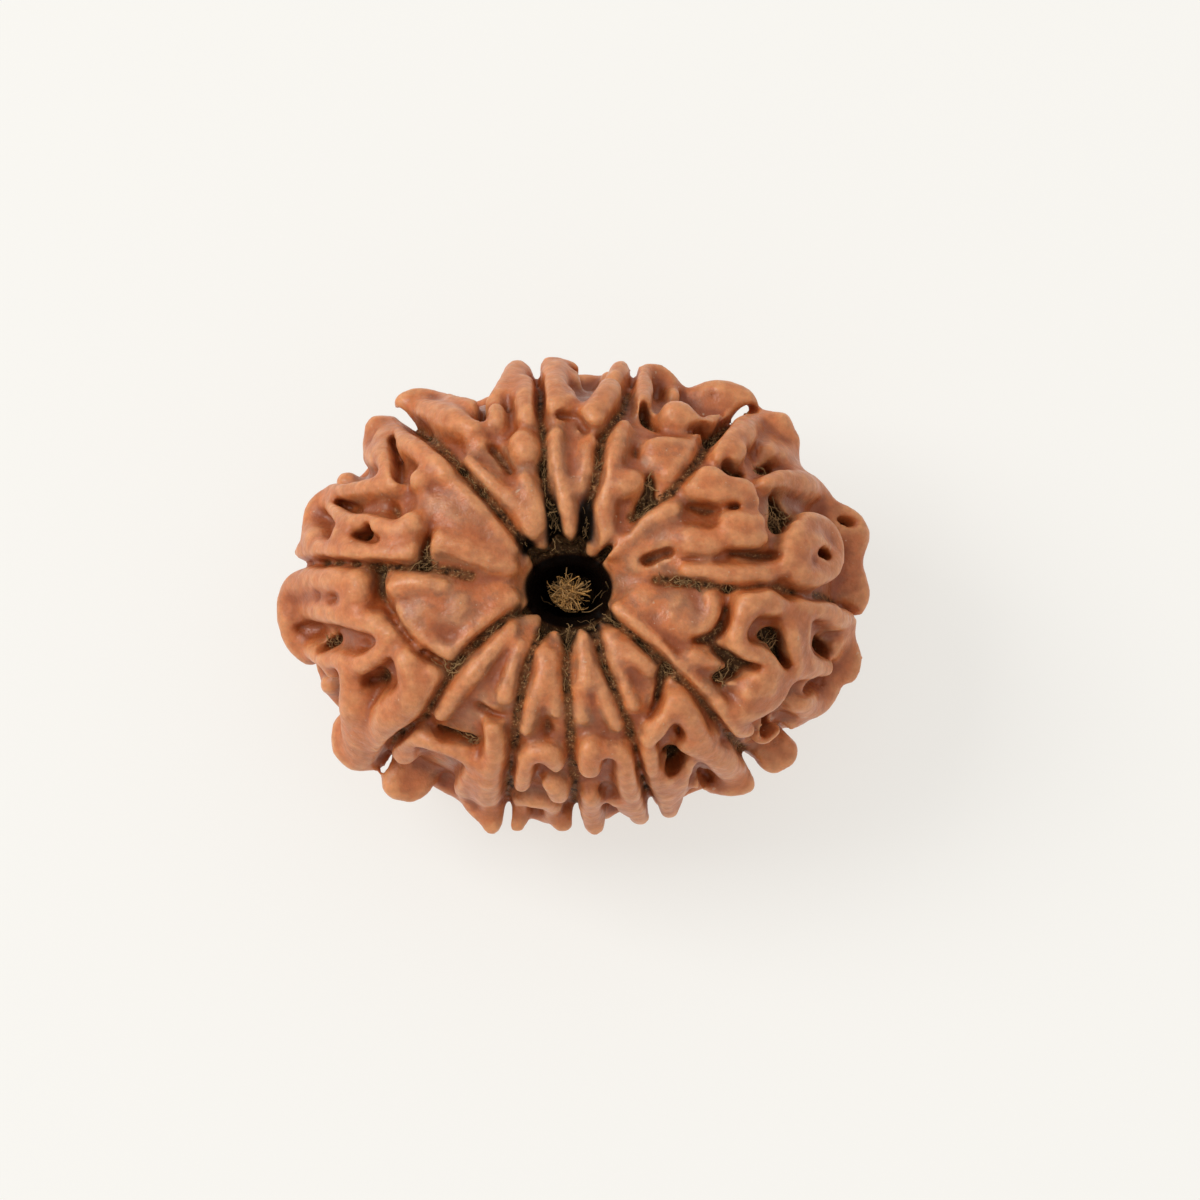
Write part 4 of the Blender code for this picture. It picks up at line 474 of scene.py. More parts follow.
def alone(item):
    """Makes one object the only one selected, and the active one."""
    if bpy.context.mode != "OBJECT":
        bpy.ops.object.mode_set(mode="OBJECT")
    bpy.ops.object.select_all(action="DESELECT")
    item.select_set(True)
    bpy.context.view_layer.objects.active = item
    return item


def applied(item, kind, **settings):
    """Adds a modifier with its settings and applies it."""
    alone(item)
    modifier = item.modifiers.new(kind.title(), kind)
    for name, value in settings.items():
        setattr(modifier, name, value)
    bpy.ops.object.modifier_apply(modifier=modifier.name)
    return item


def joined(name, items):
    alone(items[0])
    for item in items:
        item.select_set(True)
    if len(items) > 1:
        bpy.ops.object.join()
    items[0].name = name
    return items[0]


def core_profile():
    """The half section of the core, out of the hole over the top and round the side, as radius and height."""
    top = CORE_HALF_HEIGHT
    bore = [(HOLE_RADIUS, 0.0), (HOLE_RADIUS, 0.35 * top), (0.75 * MOUTH_RADIUS, 0.5 * top)]
    bore += [(0.97 * MOUTH_RADIUS, 0.7 * top), (1.02 * MOUTH_RADIUS, 0.9 * top)]
    side = [(0.24, 0.97), (0.36, 0.995), (0.48, 1.0), (0.6, 0.975), (0.71, 0.9), (0.81, 0.775)]
    side += [(0.89, 0.62), (0.95, 0.43), (0.985, 0.22), (1.0, 0.0)]
    upper = bore + [(share * CORE_HALF_WIDTH, rise * top) for share, rise in side]
    lower = [(radius, -height) for radius, height in reversed(upper[1:-1])]
    return upper + lower


def turned_core():
    """A ring of points drawn out to the half section, spun round the hole's axis and pressed oval."""
    profile = core_profile()
    bpy.ops.object.select_all(action="DESELECT")
    bpy.ops.mesh.primitive_circle_add(vertices=len(profile), radius=1.0)
    core = bpy.context.object
    core.name = "core"
    for vertex, (radius, height) in zip(core.data.vertices, profile):
        vertex.co = (radius, 0.0, height)
    bpy.ops.object.mode_set(mode="EDIT")
    bpy.ops.mesh.select_all(action="SELECT")
    bpy.ops.mesh.spin(steps=SPIN_STEPS, angle=math.tau, center=(0.0, 0.0, 0.0), axis=(0.0, 0.0, 1.0))
    bpy.ops.mesh.select_all(action="SELECT")
    bpy.ops.mesh.remove_doubles(threshold=0.001)
    bpy.ops.mesh.normals_make_consistent(inside=False)
    bpy.ops.object.mode_set(mode="OBJECT")
    applied(core, "SUBSURF", levels=2, render_levels=2)
    squeeze = CORE_HALF_DEPTH / CORE_HALF_WIDTH
    for vertex in core.data.vertices:
        reach = math.hypot(vertex.co.x, vertex.co.y)
        share = min(1.0, max(0.0, (reach - HOLE_RADIUS) / (0.5 * CORE_HALF_WIDTH)))
        vertex.co.y *= 1.0 + (squeeze - 1.0) * share
        near = max(0.0, min(1.0, 2.0 - 0.5 * reach)) * max(0.0, min(1.0, 0.5 * vertex.co.z - 0.5))
        vertex.co.x += MOUTH_PLACE[0] * near
        vertex.co.y += (MOUTH_PLACE[1] - MOUTH_SQUASH * vertex.co.y) * near
    return core


class Core:
    """Finds places on the core from where they look to be, and from directions out of its middle."""

    def __init__(self, core):
        mesh = core.data
        self.tree = BVHTree.FromPolygons(
            [vertex.co for vertex in mesh.vertices], [list(face.vertices) for face in mesh.polygons]
        )
        sight = math.radians(SIGHT)
        self.eye = Vector((0.0, -math.sin(sight), math.cos(sight))) * SIGHT_DISTANCE
        self.up = Vector((0.0, math.cos(sight), math.sin(sight)))
        self.toward_eye = self.eye.normalized()

    def seen(self, across, up, lift):
        """The first place on the sight line that is `lift` above the core, or the nearest that it comes."""
        aim = (Vector((across, 0.0, 0.0)) + self.up * up - self.eye).normalized()
        best, least = None, 1e9
        start, step = SIGHT_DISTANCE - 12.0, 0.06
        for count in range(int(24.0 / step)):
            place = self.eye + aim * (start + step * count)
            foot, normal, _, gap = self.tree.find_nearest(place)
            if (place - foot).dot(normal) < 0.0:
                gap = -gap
            if gap < least:
                best, least = (place, foot, normal), gap
            if gap <= lift:
                break
        place, foot, normal = best
        if least > 0.05:
            normal = (place - foot).normalized()
        return place, normal

    def foot_of_cut(self, across, up):
        """The place where a cut goes in, and the way out: between the sight line and square to the surface."""
        place, normal = self.seen(across, up, 0.0)
        return place, (normal + self.toward_eye).normalized()

    def notch(self, place, ahead, width):
        """Places from inside the hole's mouth out along a furrow, for the notch that opens it to the hole."""
        middle = Vector((MOUTH_PLACE[0], MOUTH_PLACE[1], place.z))
        way = (ahead - middle).normalized()
        start = 0.4 * MOUTH_RADIUS
        reach = max(MOUTH_RADIUS + 0.5, (place - middle).length)
        up = Vector((0.0, 0.0, 1.0))
        steps = [(start, 0.5), (0.75 * MOUTH_RADIUS, 0.44), (MOUTH_RADIUS, 0.34)]
        steps += [(0.5 * (MOUTH_RADIUS + reach), 0.22), (reach, 0.14)]
        return [((middle + way * far + up * 0.15, up), width * radius) for far, radius in steps]

    def outside(self, turn, rise, lift):
        """The place `lift` above the core in a direction out of its middle, as two angles in degrees."""
        turn, rise = math.radians(turn), math.radians(max(rise, FAR_RISE))
        way = Vector((math.cos(turn) * math.cos(rise), math.sin(turn) * math.cos(rise), math.sin(rise)))
        foot, normal, _, _ = self.tree.ray_cast(way * 40.0, -way)
        return foot + normal * lift, normal


def raised(tops):
    """The paths of a ridge: its top, and the copies under it that carry it down to the core."""
    paths = [[(place, radius) for (place, _), radius in tops]]
    for sink in (0.4, 0.8, 1.2):
        paths.append([(place - normal * sink, 1.05 * radius) for (place, normal), radius in tops])
    return paths


def openness(place):
    """How much of its flare a cut has at a place: all of it on top of the bead, and little round the side."""
    out = math.hypot(place.x / CORE_HALF_WIDTH, place.y / CORE_HALF_DEPTH)
    return max(LEAST_FLARE, min(1.0, 3.0 * (0.95 - out)))


def sunk(feet, depth, flare=0.0):
    """The paths of a cut: from above the surface, where the flare widens it, down to its depth."""
    paths = []
    level = 1.2
    while level > -depth:
        opening = flare * min(max(0.0, level), FLARE_TOP) ** 1.5
        paths.append([
            (place + normal * level, max(radius, NARROWEST_CUT) + opening * openness(place))
            for (place, normal), radius in feet
        ])
        level -= 0.25
    paths.append([
        (place - normal * depth, 0.85 * max(radius, NARROWEST_CUT)) for (place, normal), radius in feet
    ])
    return paths


def far_furrow(places, stroke, rng):
    """The directions along which a furrow runs on from where it goes out of sight to the far mouth."""
    across, up, _ = stroke[-1]
    end, _ = places.seen(across, up, 0.0)
    turn = math.degrees(math.atan2(end.y, end.x))
    start = math.degrees(math.atan2(end.z, math.hypot(end.x, end.y)))
    path = [(turn, start, 0.18)]
    rise = start - 11.0
    bend = WINDING * math.sin(math.radians(2.0 * turn))
    while rise > FAR_RISE:
        path.append((turn + bend + rng.uniform(-2.5, 2.5), rise, rng.uniform(0.17, 0.23)))
        rise -= 11.0
        bend *= -0.8
    path.append((turn, FAR_RISE, 0.24))
    return path


def inset(rise, gap):
    """The turn, in degrees, that is `gap` millimetres along the side at that rise."""
    return math.degrees(gap / (0.93 * CORE_HALF_WIDTH * math.cos(math.radians(rise))))


def far_crest(turn, side, rng):
    """A knobbly crest that follows one furrow down the far half of the bead, on one side of it."""
    path = []
    rise = -3.0 + SIGHT * math.sin(math.radians(turn))
    while rise > FAR_RISE:
        narrowing = 0.55 + 0.45 * math.cos(math.radians(rise))
        radius = narrowing * rng.uniform(0.34, 0.5)
        path.append((turn + side * inset(rise, rng.uniform(0.72, 0.95) * (0.5 + 0.5 * narrowing)), rise, radius))
        rise -= rng.uniform(7.0, 10.0)
    return path


def far_lobe(low_turn, high_turn, rng):
    """Ridges, knobs and pits on the far half of one lobe, between its furrows' turns."""
    middle = 0.5 * (low_turn + high_turn)
    span = high_turn - low_turn
    ridges = [far_crest(low_turn, 1.0, rng), far_crest(high_turn, -1.0, rng)]
    pits = []
    if span > WIDE_LOBE:
        spine = far_crest(middle, 0.0, rng)
        ridges.append([(turn + rng.uniform(-4.0, 4.0), rise, radius) for turn, rise, radius in spine])
    for side, edge in ((1.0, low_turn), (-1.0, high_turn)):
        for count in range(3):
            rise = rng.uniform(-50.0, -8.0)
            ridges.append([(edge + side * inset(rise, rng.uniform(0.8, 1.5)), rise, rng.uniform(0.5, 0.68))])
    rise = -12.0 + rng.uniform(-4.0, 4.0)
    while rise > FAR_RISE + 10.0:
        arch = rng.choice((-6.0, 6.0))
        reach = 0.5 * span - inset(rise, 0.8)
        if reach > 1.0:
            ridges.append([
                (middle - reach, rise, 0.33),
                (middle + rng.uniform(-3.0, 3.0), rise + arch, rng.uniform(0.34, 0.46)),
                (middle + reach, rise + rng.uniform(-4.0, 4.0), 0.33),
            ])
        gap = rng.uniform(14.0, 18.0)
        offset = 0.25 * span if span > WIDE_LOBE else 0.0
        for side in ((-1.0, 1.0) if offset else (0.0,)):
            pits.append([(middle + side * offset, rise - 0.5 * gap, rng.uniform(0.2, 0.3))])
        rise -= gap
    return ridges, pits


def from_middle(places, path, lift):
    """A far path as places `lift` above the core, each with its way out and its radius."""
    return [(places.outside(turn, rise, lift), radius) for turn, rise, radius in path]


def relief_paths(places):
    """The bars to raise and the cuts to make, as paths of (place, radius)."""
    rng = Random(SEED)
    bars, cuts = [], []
    for stroke in SWELLS:
        bars.append([(places.seen(a, u, SWELL_TOP - r)[0], r) for a, u, r in stroke])
    for stroke in CRESTS:
        bars += raised([(places.seen(a, u, CREST_LIFT), CREST_FULLNESS * r) for a, u, r in stroke])
    for stroke in RIDGES:
        bars += raised([(places.seen(a, u, RIDGE_LIFT), FULLNESS * r) for a, u, r in stroke])
    for depth, *stroke in PITS:
        depth *= PIT_SHARE
        cuts += sunk([(places.foot_of_cut(a, u), r) for a, u, r in stroke], depth, PIT_FLARE)
    turns = []
    for stroke in FURROWS:
        feet = [(places.foot_of_cut(a, u), FURROW_WIDTH * r) for a, u, r in stroke]
        cuts += sunk(feet, FURROW_DEPTH, FURROW_FLARE)
        if math.hypot(stroke[0][0], stroke[0][1]) < LONGEST_NOTCH:
            cuts += sunk(places.notch(feet[0][0][0], feet[1][0][0], stroke[0][2] / 0.26), NOTCH_DEPTH)
        path = far_furrow(places, stroke, rng)
        path = [(turn, rise, FURROW_WIDTH * radius) for turn, rise, radius in path]
        cuts += sunk(from_middle(places, path, 0.0), FURROW_DEPTH, FURROW_FLARE)
        turns.append(path[-1][0])
    turns.sort()
    for low, high in zip(turns, turns[1:] + [turns[0] + 360.0]):
        ridges, pits = far_lobe(low, high, rng)
        for path in ridges:
            bars += raised(from_middle(places, path, FAR_LIFT))
        for path in pits:
            cuts += sunk(from_middle(places, path, 0.0), FAR_PIT_DEPTH)
    return bars, cuts


def ball_points():
    """The corners and faces of a small round ball of radius one."""
    bpy.ops.object.select_all(action="DESELECT")
    bpy.ops.mesh.primitive_ico_sphere_add(subdivisions=2, radius=1.0)
    ball = bpy.context.object
    corners = np.array([vertex.co for vertex in ball.data.vertices])
    faces = np.array([list(face.vertices) for face in ball.data.polygons])
    bpy.data.objects.remove(ball, do_unlink=True)
    return corners, faces


def balls_at(name, paths):
    """One mesh with a ball at every point of the paths."""
    corners, faces = ball_points()
    spots = [(place, radius) for path in paths for place, radius in path]
    points = np.concatenate([corners * radius + np.array(place) for place, radius in spots])
    sides = np.concatenate([faces + number * len(corners) for number in range(len(spots))])
    mesh = bpy.data.meshes.new(name)
    mesh.from_pydata(points.tolist(), [], sides.tolist())
    balls = bpy.data.objects.new(name, mesh)
    bpy.context.scene.collection.objects.link(balls)
    return balls


def bars_along(name, paths, around, along):
    """One mesh of round bars, one along each path of (place, radius) points."""
    curve = bpy.data.curves.new(name, "CURVE")
    curve.dimensions = "3D"
    curve.resolution_u = along
    curve.bevel_depth = 1.0
    curve.bevel_resolution = around
    curve.use_fill_caps = True
    for path in paths:
        if len(path) < 2:
            continue
        spline = curve.splines.new("BEZIER")
        spline.bezier_points.add(len(path) - 1)
        for point, (place, radius) in zip(spline.bezier_points, path):
            point.co = place
            point.radius = radius
            point.handle_left_type = point.handle_right_type = "AUTO"
    bars = bpy.data.objects.new(name, curve)
    bpy.context.scene.collection.objects.link(bars)
    alone(bars)
    bpy.ops.object.convert(target="MESH")
    return bpy.context.object


def tubes_of(name, paths):
    """Round bars with round ends."""
    return joined(name, [bars_along(name, paths, 3, 4), balls_at(name + "_ends", paths)])


def loose_pieces_dropped(item):
    """Keeps the main skin and deletes crumbs and sealed bubbles."""
    alone(item)
    bpy.ops.object.mode_set(mode="EDIT")
    form = bmesh.from_edit_mesh(item.data)
    left = set(form.verts)
    pieces = []
    while left:
        front = [left.pop()]
        piece = list(front)
        while front:
            near = {edge.other_vert(vertex) for vertex in front for edge in vertex.link_edges} & left
            left -= near
            piece += near
            front = list(near)
        pieces.append(piece)
    pieces.sort(key=len)
    for vertex in form.verts:
        vertex.select = False
    for piece in pieces[:-1]:
        for vertex in piece:
            vertex.select = True
    form.select_flush(True)
    bmesh.update_edit_mesh(item.data)
    bpy.ops.mesh.delete(type="VERT")
    bpy.ops.object.mode_set(mode="OBJECT")
    return item


def carved_stone(form_settings):
    """The stone in millimetres, upright on its hole's axis: raised, cut, rubbed round and gently uneven."""
    grain = form_settings.grain / METRES_IN_A_MM
    core = turned_core()
    places = Core(core)
    MADE["places"] = places
    MADE["furrow_lines"] = furrow_lines(places)
    bars, cuts = relief_paths(places)
    bead = joined("rudraksha_stone", [core, tubes_of("bars", bars)])
    applied(bead, "REMESH", mode="VOXEL", voxel_size=grain)
    applied(bead, "SMOOTH", factor=0.5, iterations=form_settings.swell_rounds)
    cutter = applied(tubes_of("cuts", cuts), "REMESH", mode="VOXEL", voxel_size=CUT_GRAIN)
    applied(bead, "BOOLEAN", operation="DIFFERENCE", object=cutter, solver="MANIFOLD")
    bpy.data.objects.remove(cutter, do_unlink=True)
    applied(bead, "REMESH", mode="VOXEL", voxel_size=grain)
    loose_pieces_dropped(bead)
    applied(bead, "SMOOTH", factor=0.5, iterations=form_settings.wear_rounds)
    swell = bpy.data.textures.new("swell", "CLOUDS")
    swell.noise_scale = SWELL_SIZE
    swell.noise_depth = 2
    applied(bead, "DISPLACE", texture=swell, texture_coords="LOCAL", strength=SWELL_HEIGHT, mid_level=0.5)
    return bead


def laid_down(bead):
    """Leans the stone as it lies, cuts the flat spot under it and sets it down in metres."""
    lean = Matrix.Rotation(math.radians(LEAN), 4, "X")
    bead.data.transform(lean)
    spot = Vector(REST_SPOT)
    near = [v.co.z for v in bead.data.vertices if (v.co.xy - spot).length < REST_SPOT_RADIUS]
    ground = min(near) + REST_SPOT_CUT
    alone(bead)
    bpy.ops.object.mode_set(mode="EDIT")
    bpy.ops.mesh.select_all(action="SELECT")
    bpy.ops.mesh.bisect(plane_co=(0.0, 0.0, ground), plane_no=(0.0, 0.0, 1.0), use_fill=True, clear_inner=True)
    bpy.ops.object.mode_set(mode="OBJECT")
    places = np.empty(len(bead.data.vertices) * 3)
    bead.data.vertices.foreach_get("co", places)
    places = places.reshape(-1, 3)
    low, high = places.min(axis=0), places.max(axis=0)
    home = Vector((0.5 * (low[0] + high[0]), 0.5 * (low[1] + high[1]), low[2]))
    setting_down = Matrix.Scale(METRES_IN_A_MM, 4) @ Matrix.Translation(-home)
    bead.data.transform(setting_down)
    MADE["placing"] = setting_down @ lean


def nearest_finder(spots):
    """A search tree that finds the nearest of the places, by its number."""
    finder = kdtree.KDTree(len(spots))
    for number, place in enumerate(spots):
        finder.insert(place, number)
    finder.balance()
    return finder


def furrow_lines(places):
    """Each furrow's foot as closely set places along it, on the near half and down the far half."""
    rng = Random(SEED)
    lines = []
    for stroke in FURROWS:
        feet = [places.seen(across, up, 0.0)[0] for across, up, _ in stroke]
        feet += [place for (place, _), _ in from_middle(places, far_furrow(places, stroke, rng), 0.0)]
        line = []
        for here, ahead in zip(feet, feet[1:]):
            steps = max(1, int((ahead - here).length / 0.15))
            for count in range(steps):
                foot, normal, _, _ = places.tree.find_nearest(here.lerp(ahead, count / steps))
                line += [foot, foot - normal * 0.3, foot - normal * 0.6]
        lines.append(line)
    return lines


def marked(mesh, name, values):
    """Writes one number for each point of a mesh, for its material to read."""
    mark = mesh.attributes.new(name, "FLOAT", "POINT")
    mark.data.foreach_set("value", np.array(values, np.float32))


def surface_marks(bead):
    """Writes on the stone how far each point is above the core, how sharp or hollow, and how near the furrows."""
    mesh = bead.data
    count = len(mesh.vertices)
    placing = np.array(MADE["placing"].inverted())
    places = np.empty(count * 3)
    mesh.vertices.foreach_get("co", places)
    places = places.reshape(-1, 3)
    in_mm = places @ placing[:3, :3].T + placing[:3, 3]
    tree = MADE["places"].tree
    heights = np.empty(count)
    for number, place in enumerate(in_mm.tolist()):
        foot, normal, _, gap = tree.find_nearest(place)
        heights[number] = gap if (Vector(place) - foot).dot(normal) > 0.0 else -gap
    normals = np.empty(count * 3)
    mesh.vertices.foreach_get("normal", normals)
    normals = normals.reshape(-1, 3)
    for name, rounds in (("crease", CREASE_ROUNDS), ("hollow", HOLLOW_ROUNDS)):
        soft = bpy.data.objects.new(name, mesh.copy())
        bpy.context.scene.collection.objects.link(soft)
        applied(soft, "SMOOTH", factor=0.5, iterations=rounds)
        rounded = np.empty(count * 3)
        soft.data.vertices.foreach_get("co", rounded)
        step = ((places - rounded.reshape(-1, 3)) * normals).sum(axis=1) / METRES_IN_A_MM
        marked(mesh, name, step)
        bpy.data.objects.remove(soft, do_unlink=True)
    marked(mesh, "height", heights)
    finder = nearest_finder([place for path in MADE["furrow_lines"] for place in path])
    marked(mesh, "furrow", [finder.find(place)[2] for place in in_mm.tolist()])
    across, up = in_mm[:, 0] - MOUTH_PLACE[0], in_mm[:, 1] - MOUTH_PLACE[1]
    mouth = np.hypot(across, up / (1.0 - MOUTH_SQUASH)) + 0.45 * np.clip(np.abs(in_mm[:, 2]) - 5.4, 0.0, 3.0)
    marked(mesh, "mouth", mouth)
    marked(mesh, "notch", np.hypot(across, np.where(up > 0.0, 0.6, 1.0) * up))


def node(tree, kind, settings=None, links=None):
    """Adds a node, sets its properties or sockets by name, and links the sockets named in `links`."""
    made = tree.nodes.new(kind)
    for name, value in (settings or {}).items():
        if isinstance(name, int) or name in made.inputs and not hasattr(made, str(name)):
            made.inputs[name].default_value = value
        else:
            setattr(made, name, value)
    for socket, source in (links or {}).items():
        tree.links.new(source, made.inputs[socket])
    return made


def material_named(name):
    material = bpy.data.materials.new(name)
    material.use_nodes = True
    return material, material.node_tree, material.node_tree.nodes["Principled BSDF"]


def ramp(tree, source, low, high, to_low=0.0, to_high=1.0):
    """A value that goes smoothly from to_low to to_high while the source goes from low to high."""
    return node(
        tree, "ShaderNodeMapRange",
        {"interpolation_type": "SMOOTHSTEP", 1: low, 2: high, 3: to_low, 4: to_high}, {0: source}
    ).outputs[0]


def times(tree, first, second):
    return node(tree, "ShaderNodeMath", {"operation": "MULTIPLY"}, {0: first, 1: second}).outputs[0]


def tinted(tree, factor, under, over, blend="MIX"):
    """The colour `under` with `over` laid on it by the factor. Either may be a colour or a socket."""
    mix = node(tree, "ShaderNodeMix", {"data_type": "RGBA", "blend_type": blend, "clamp_factor": True})
    for number, value in ((0, factor), (6, under), (7, over)):
        if hasattr(value, "links"):
            tree.links.new(value, mix.inputs[number])
        else:
            mix.inputs[number].default_value = value
    return mix.outputs[2]


def stone_material(colours):
    """Seed stone, dried, cleaned and oiled: tan where handled, with a painted highlight on the crests, a painted
    reddish glow down the sides, painted shade in the creases and at the hole, dark in the furrows.
    """
    material, tree, shader = material_named("Rudraksha stone, oiled and handled")
    place = node(tree, "ShaderNodeTexCoord").outputs["Object"]
    height, crease, hollow, furrow, mouth, notch = (
        node(tree, "ShaderNodeAttribute", {"attribute_name": name}).outputs["Fac"]
        for name in ("height", "crease", "hollow", "furrow", "mouth", "notch")
    )

    def noise(size_mm, detail=3.0, roughness=0.55):
        scale = 1.0 / (size_mm * METRES_IN_A_MM)
        settings = {"Scale": scale, "Detail": detail, "Roughness": roughness}
        return node(tree, "ShaderNodeTexNoise", settings, {"Vector": place}).outputs["Fac"]

    patches, clouds, blotches = noise(3.4), noise(1.3, 4.0), noise(0.62, 4.0, 0.6)
    mottle, specks, pores = noise(0.3, 4.0, 0.6), noise(0.11, 2.0), noise(0.19, 1.0)
    stone, painted_hollow_glow, dirt, dust, fibre = (
        list(getattr(colours, name)) + [1.0] for name in ("stone", "painted_hollow_glow", "furrow", "dust", "fibre")
    )
    # Ripened unevenly: broad browner and redder patches
    colour = tinted(tree, ramp(tree, patches, 0.4, 0.66, 0.0, 0.6), stone, linear("B36234"))
    # Greyish dust rubbed into the low plates between the ridges, and thinly into the grain everywhere
    plate = times(tree, ramp(tree, height, 0.15, 0.7, 1.0, 0.12), ramp(tree, clouds, 0.40, 0.60))
    colour = tinted(tree, plate, colour, dust)
    film = times(tree, ramp(tree, blotches, 0.5, 0.66, 0.0, 0.5), ramp(tree, height, 0.3, 1.0, 1.0, 0.35))
    colour = tinted(tree, film, colour, linear("8E5B3F"))
    # Painted reddish glow of light scattered and bounced in the hollows and down the sides of ridges
    side = ramp(tree, hollow, 0.03, -0.09)
    colour = tinted(tree, times(tree, side, ramp(tree, clouds, 0.25, 0.7, 1.0, 0.75)), colour, painted_hollow_glow)
    # Painted shade: the deepest creases are darkened
    painted_crease_shade = ramp(tree, crease, -0.03, -0.11, 0.0, 0.7)
    colour = tinted(tree, painted_crease_shade, colour, linear("6C3C1E"))
    # Handling pales the crests, and this pale also serves as a painted highlight on them
    crest = times(tree, ramp(tree, crease, 0.005, 0.05), ramp(tree, clouds, 0.3, 0.62, 0.5, 0.8))
    colour = tinted(tree, crest, colour, linear("DF9A65"))
    speck = times(tree, ramp(tree, pores, 0.70, 0.78, 0.0, 0.5), ramp(tree, blotches, 0.42, 0.6))
    colour = tinted(tree, speck, colour, linear("CEAF93"))
    # Old flesh and dirt darken what lies deep
    mat = tinted(tree, ramp(tree, specks, 0.5, 0.76), dirt, fibre)
    mat = tinted(tree, ramp(tree, mottle, 0.5, 0.35), mat, linear("352214"))
    colour = tinted(tree, ramp(tree, height, -0.1, -0.45), colour, mat)
    line = times(tree, ramp(tree, furrow, 0.34, 0.1), ramp(tree, mottle, 0.3, 0.6, 1.0, 0.7))
    colour = tinted(tree, line, colour, mat)
    # Painted shade: the notches into the hole and the hole's mouth are painted near black
    black = times(tree, ramp(tree, notch, 2.6, 1.9), ramp(tree, furrow, 0.55, 0.25))
    colour = tinted(tree, black, colour, linear("150E09"))
    colour = tinted(tree, ramp(tree, mouth, 2.05, 1.75), colour, linear("160D08"))
    # Dirt is matt, so the furrows and the hole's mouth don't shine as the oiled stone does
    gloss = times(tree, ramp(tree, furrow, 0.15, 0.4, 0.04, 0.5), ramp(tree, height, -0.4, 0.0, 0.1, 1.0))
    gloss = times(tree, gloss, ramp(tree, mouth, 1.6, 2.1, 0.1, 1.0))
    tree.links.new(gloss, shader.inputs["Specular IOR Level"])
    # Fine grain of the stone, with pale specks of dust in its pores
    grain = tinted(tree, ramp(tree, mottle, 0.32, 0.68), linear("E9E6E3"), linear("FFFFFF"))
    colour = tinted(tree, 1.0, colour, grain, "MULTIPLY")
    tree.links.new(colour, shader.inputs["Base Color"])
    rough = ramp(tree, blotches, 0.35, 0.65, 0.34, 0.5)
    tree.links.new(rough, shader.inputs["Roughness"])
    # Bumps 0.1, 0.06 and 0.02 mm high, on the three finest patterns
    skin = node(tree, "ShaderNodeBump", {"Strength": 0.6, "Distance": 0.00010}, {"Height": blotches}).outputs[0]
    for strength, distance, pattern in ((0.6, 0.00006, mottle), (0.5, 0.00002, specks)):
        sizes = {"Strength": strength, "Distance": distance}
        skin = node(tree, "ShaderNodeBump", sizes, {"Height": pattern, "Normal": skin}).outputs[0]
    tree.links.new(skin, shader.inputs["Normal"])
    # Light goes a little way into the oiled wood, red deepest, which softens the edges of the shadows
    shader.inputs["IOR"].default_value = 1.5
    shader.inputs["Subsurface Weight"].default_value = 0.22
    shader.inputs["Subsurface Radius"].default_value = (1.0, 0.35, 0.15)
    shader.inputs["Subsurface Scale"].default_value = 0.0006
    return material


def fibre_material(colours):
    """Dried strands of the fruit's flesh: matt, nearly black through straw to the bright tan of the tuft."""
    material, tree, shader = material_named("Dried fruit fibre")
    tone = node(tree, "ShaderNodeAttribute", {"attribute_name": "tone"}).outputs["Fac"]
    colour = tinted(tree, tone, linear("302114"), list(colours.fibre) + [1.0])
    colour = tinted(tree, ramp(tree, tone, 1.0, 2.0), colour, linear("D8A25E"))
    tree.links.new(colour, shader.inputs["Base Color"])
    shader.inputs["Roughness"].default_value = 0.8
    shader.inputs["Specular IOR Level"].default_value = 0.05
    return material


def random_way(rng):
    return Vector((rng.gauss(0.0, 1.0), rng.gauss(0.0, 1.0), rng.gauss(0.0, 1.0))).normalized()


def surface_strand(places, place, heading, length, lift, wander, radius, rng):
    """A curly strand that creeps over the stone at a height above the core."""
    path = []
    for count in range(STRAND_POINTS):
        foot, normal, _, _ = places.tree.find_nearest(place)
        place = foot + normal * (lift + rng.uniform(-0.06, 0.06))
        path.append((place.copy(), radius * rng.uniform(0.7, 1.1)))
        heading = (heading + random_way(rng) * wander).normalized()
        heading = (heading - normal * heading.dot(normal)).normalized()
        place = place + heading * (length / (STRAND_POINTS - 1))
    return path


def loose_strand(place, heading, wander, stride, thickness, reach, top, rng):
    """A curly strand in the hole, which stays within `reach` of the axis and under `top`."""
    path = []
    for count in range(STRAND_POINTS):
        path.append((place.copy(), rng.uniform(0.012, thickness)))
        heading = (heading + random_way(rng) * wander).normalized()
        place = place + heading * rng.uniform(*stride)
        flat = math.hypot(place.x, place.y)
        if flat > reach:
            place.x, place.y = place.x * reach / flat, place.y * reach / flat
        place.z = min(place.z, top)
    return path


def around_axis(out, turn, level):
    """A place in the hole from its distance out, its angle in radians and its level."""
    return Vector((out * math.cos(turn), out * math.sin(turn), level))


def dried_plug():
    """The lump of dried flesh that closes the hole partway down, coloured dark as painted shade deep in the bore.
    """
    bpy.ops.object.select_all(action="DESELECT")
    bpy.ops.mesh.primitive_ico_sphere_add(subdivisions=5, radius=1.0)
    plug = bpy.context.object
    plug.data.transform(Matrix.Translation(PLUG_PLACE) @ Matrix.Diagonal((*PLUG_HALF_SIZES, 1.0)))
    crumple = bpy.data.textures.new("crumple", "CLOUDS")
    crumple.noise_scale = 0.35
    applied(plug, "DISPLACE", texture=crumple, texture_coords="LOCAL", strength=0.5, mid_level=0.5)
    return plug


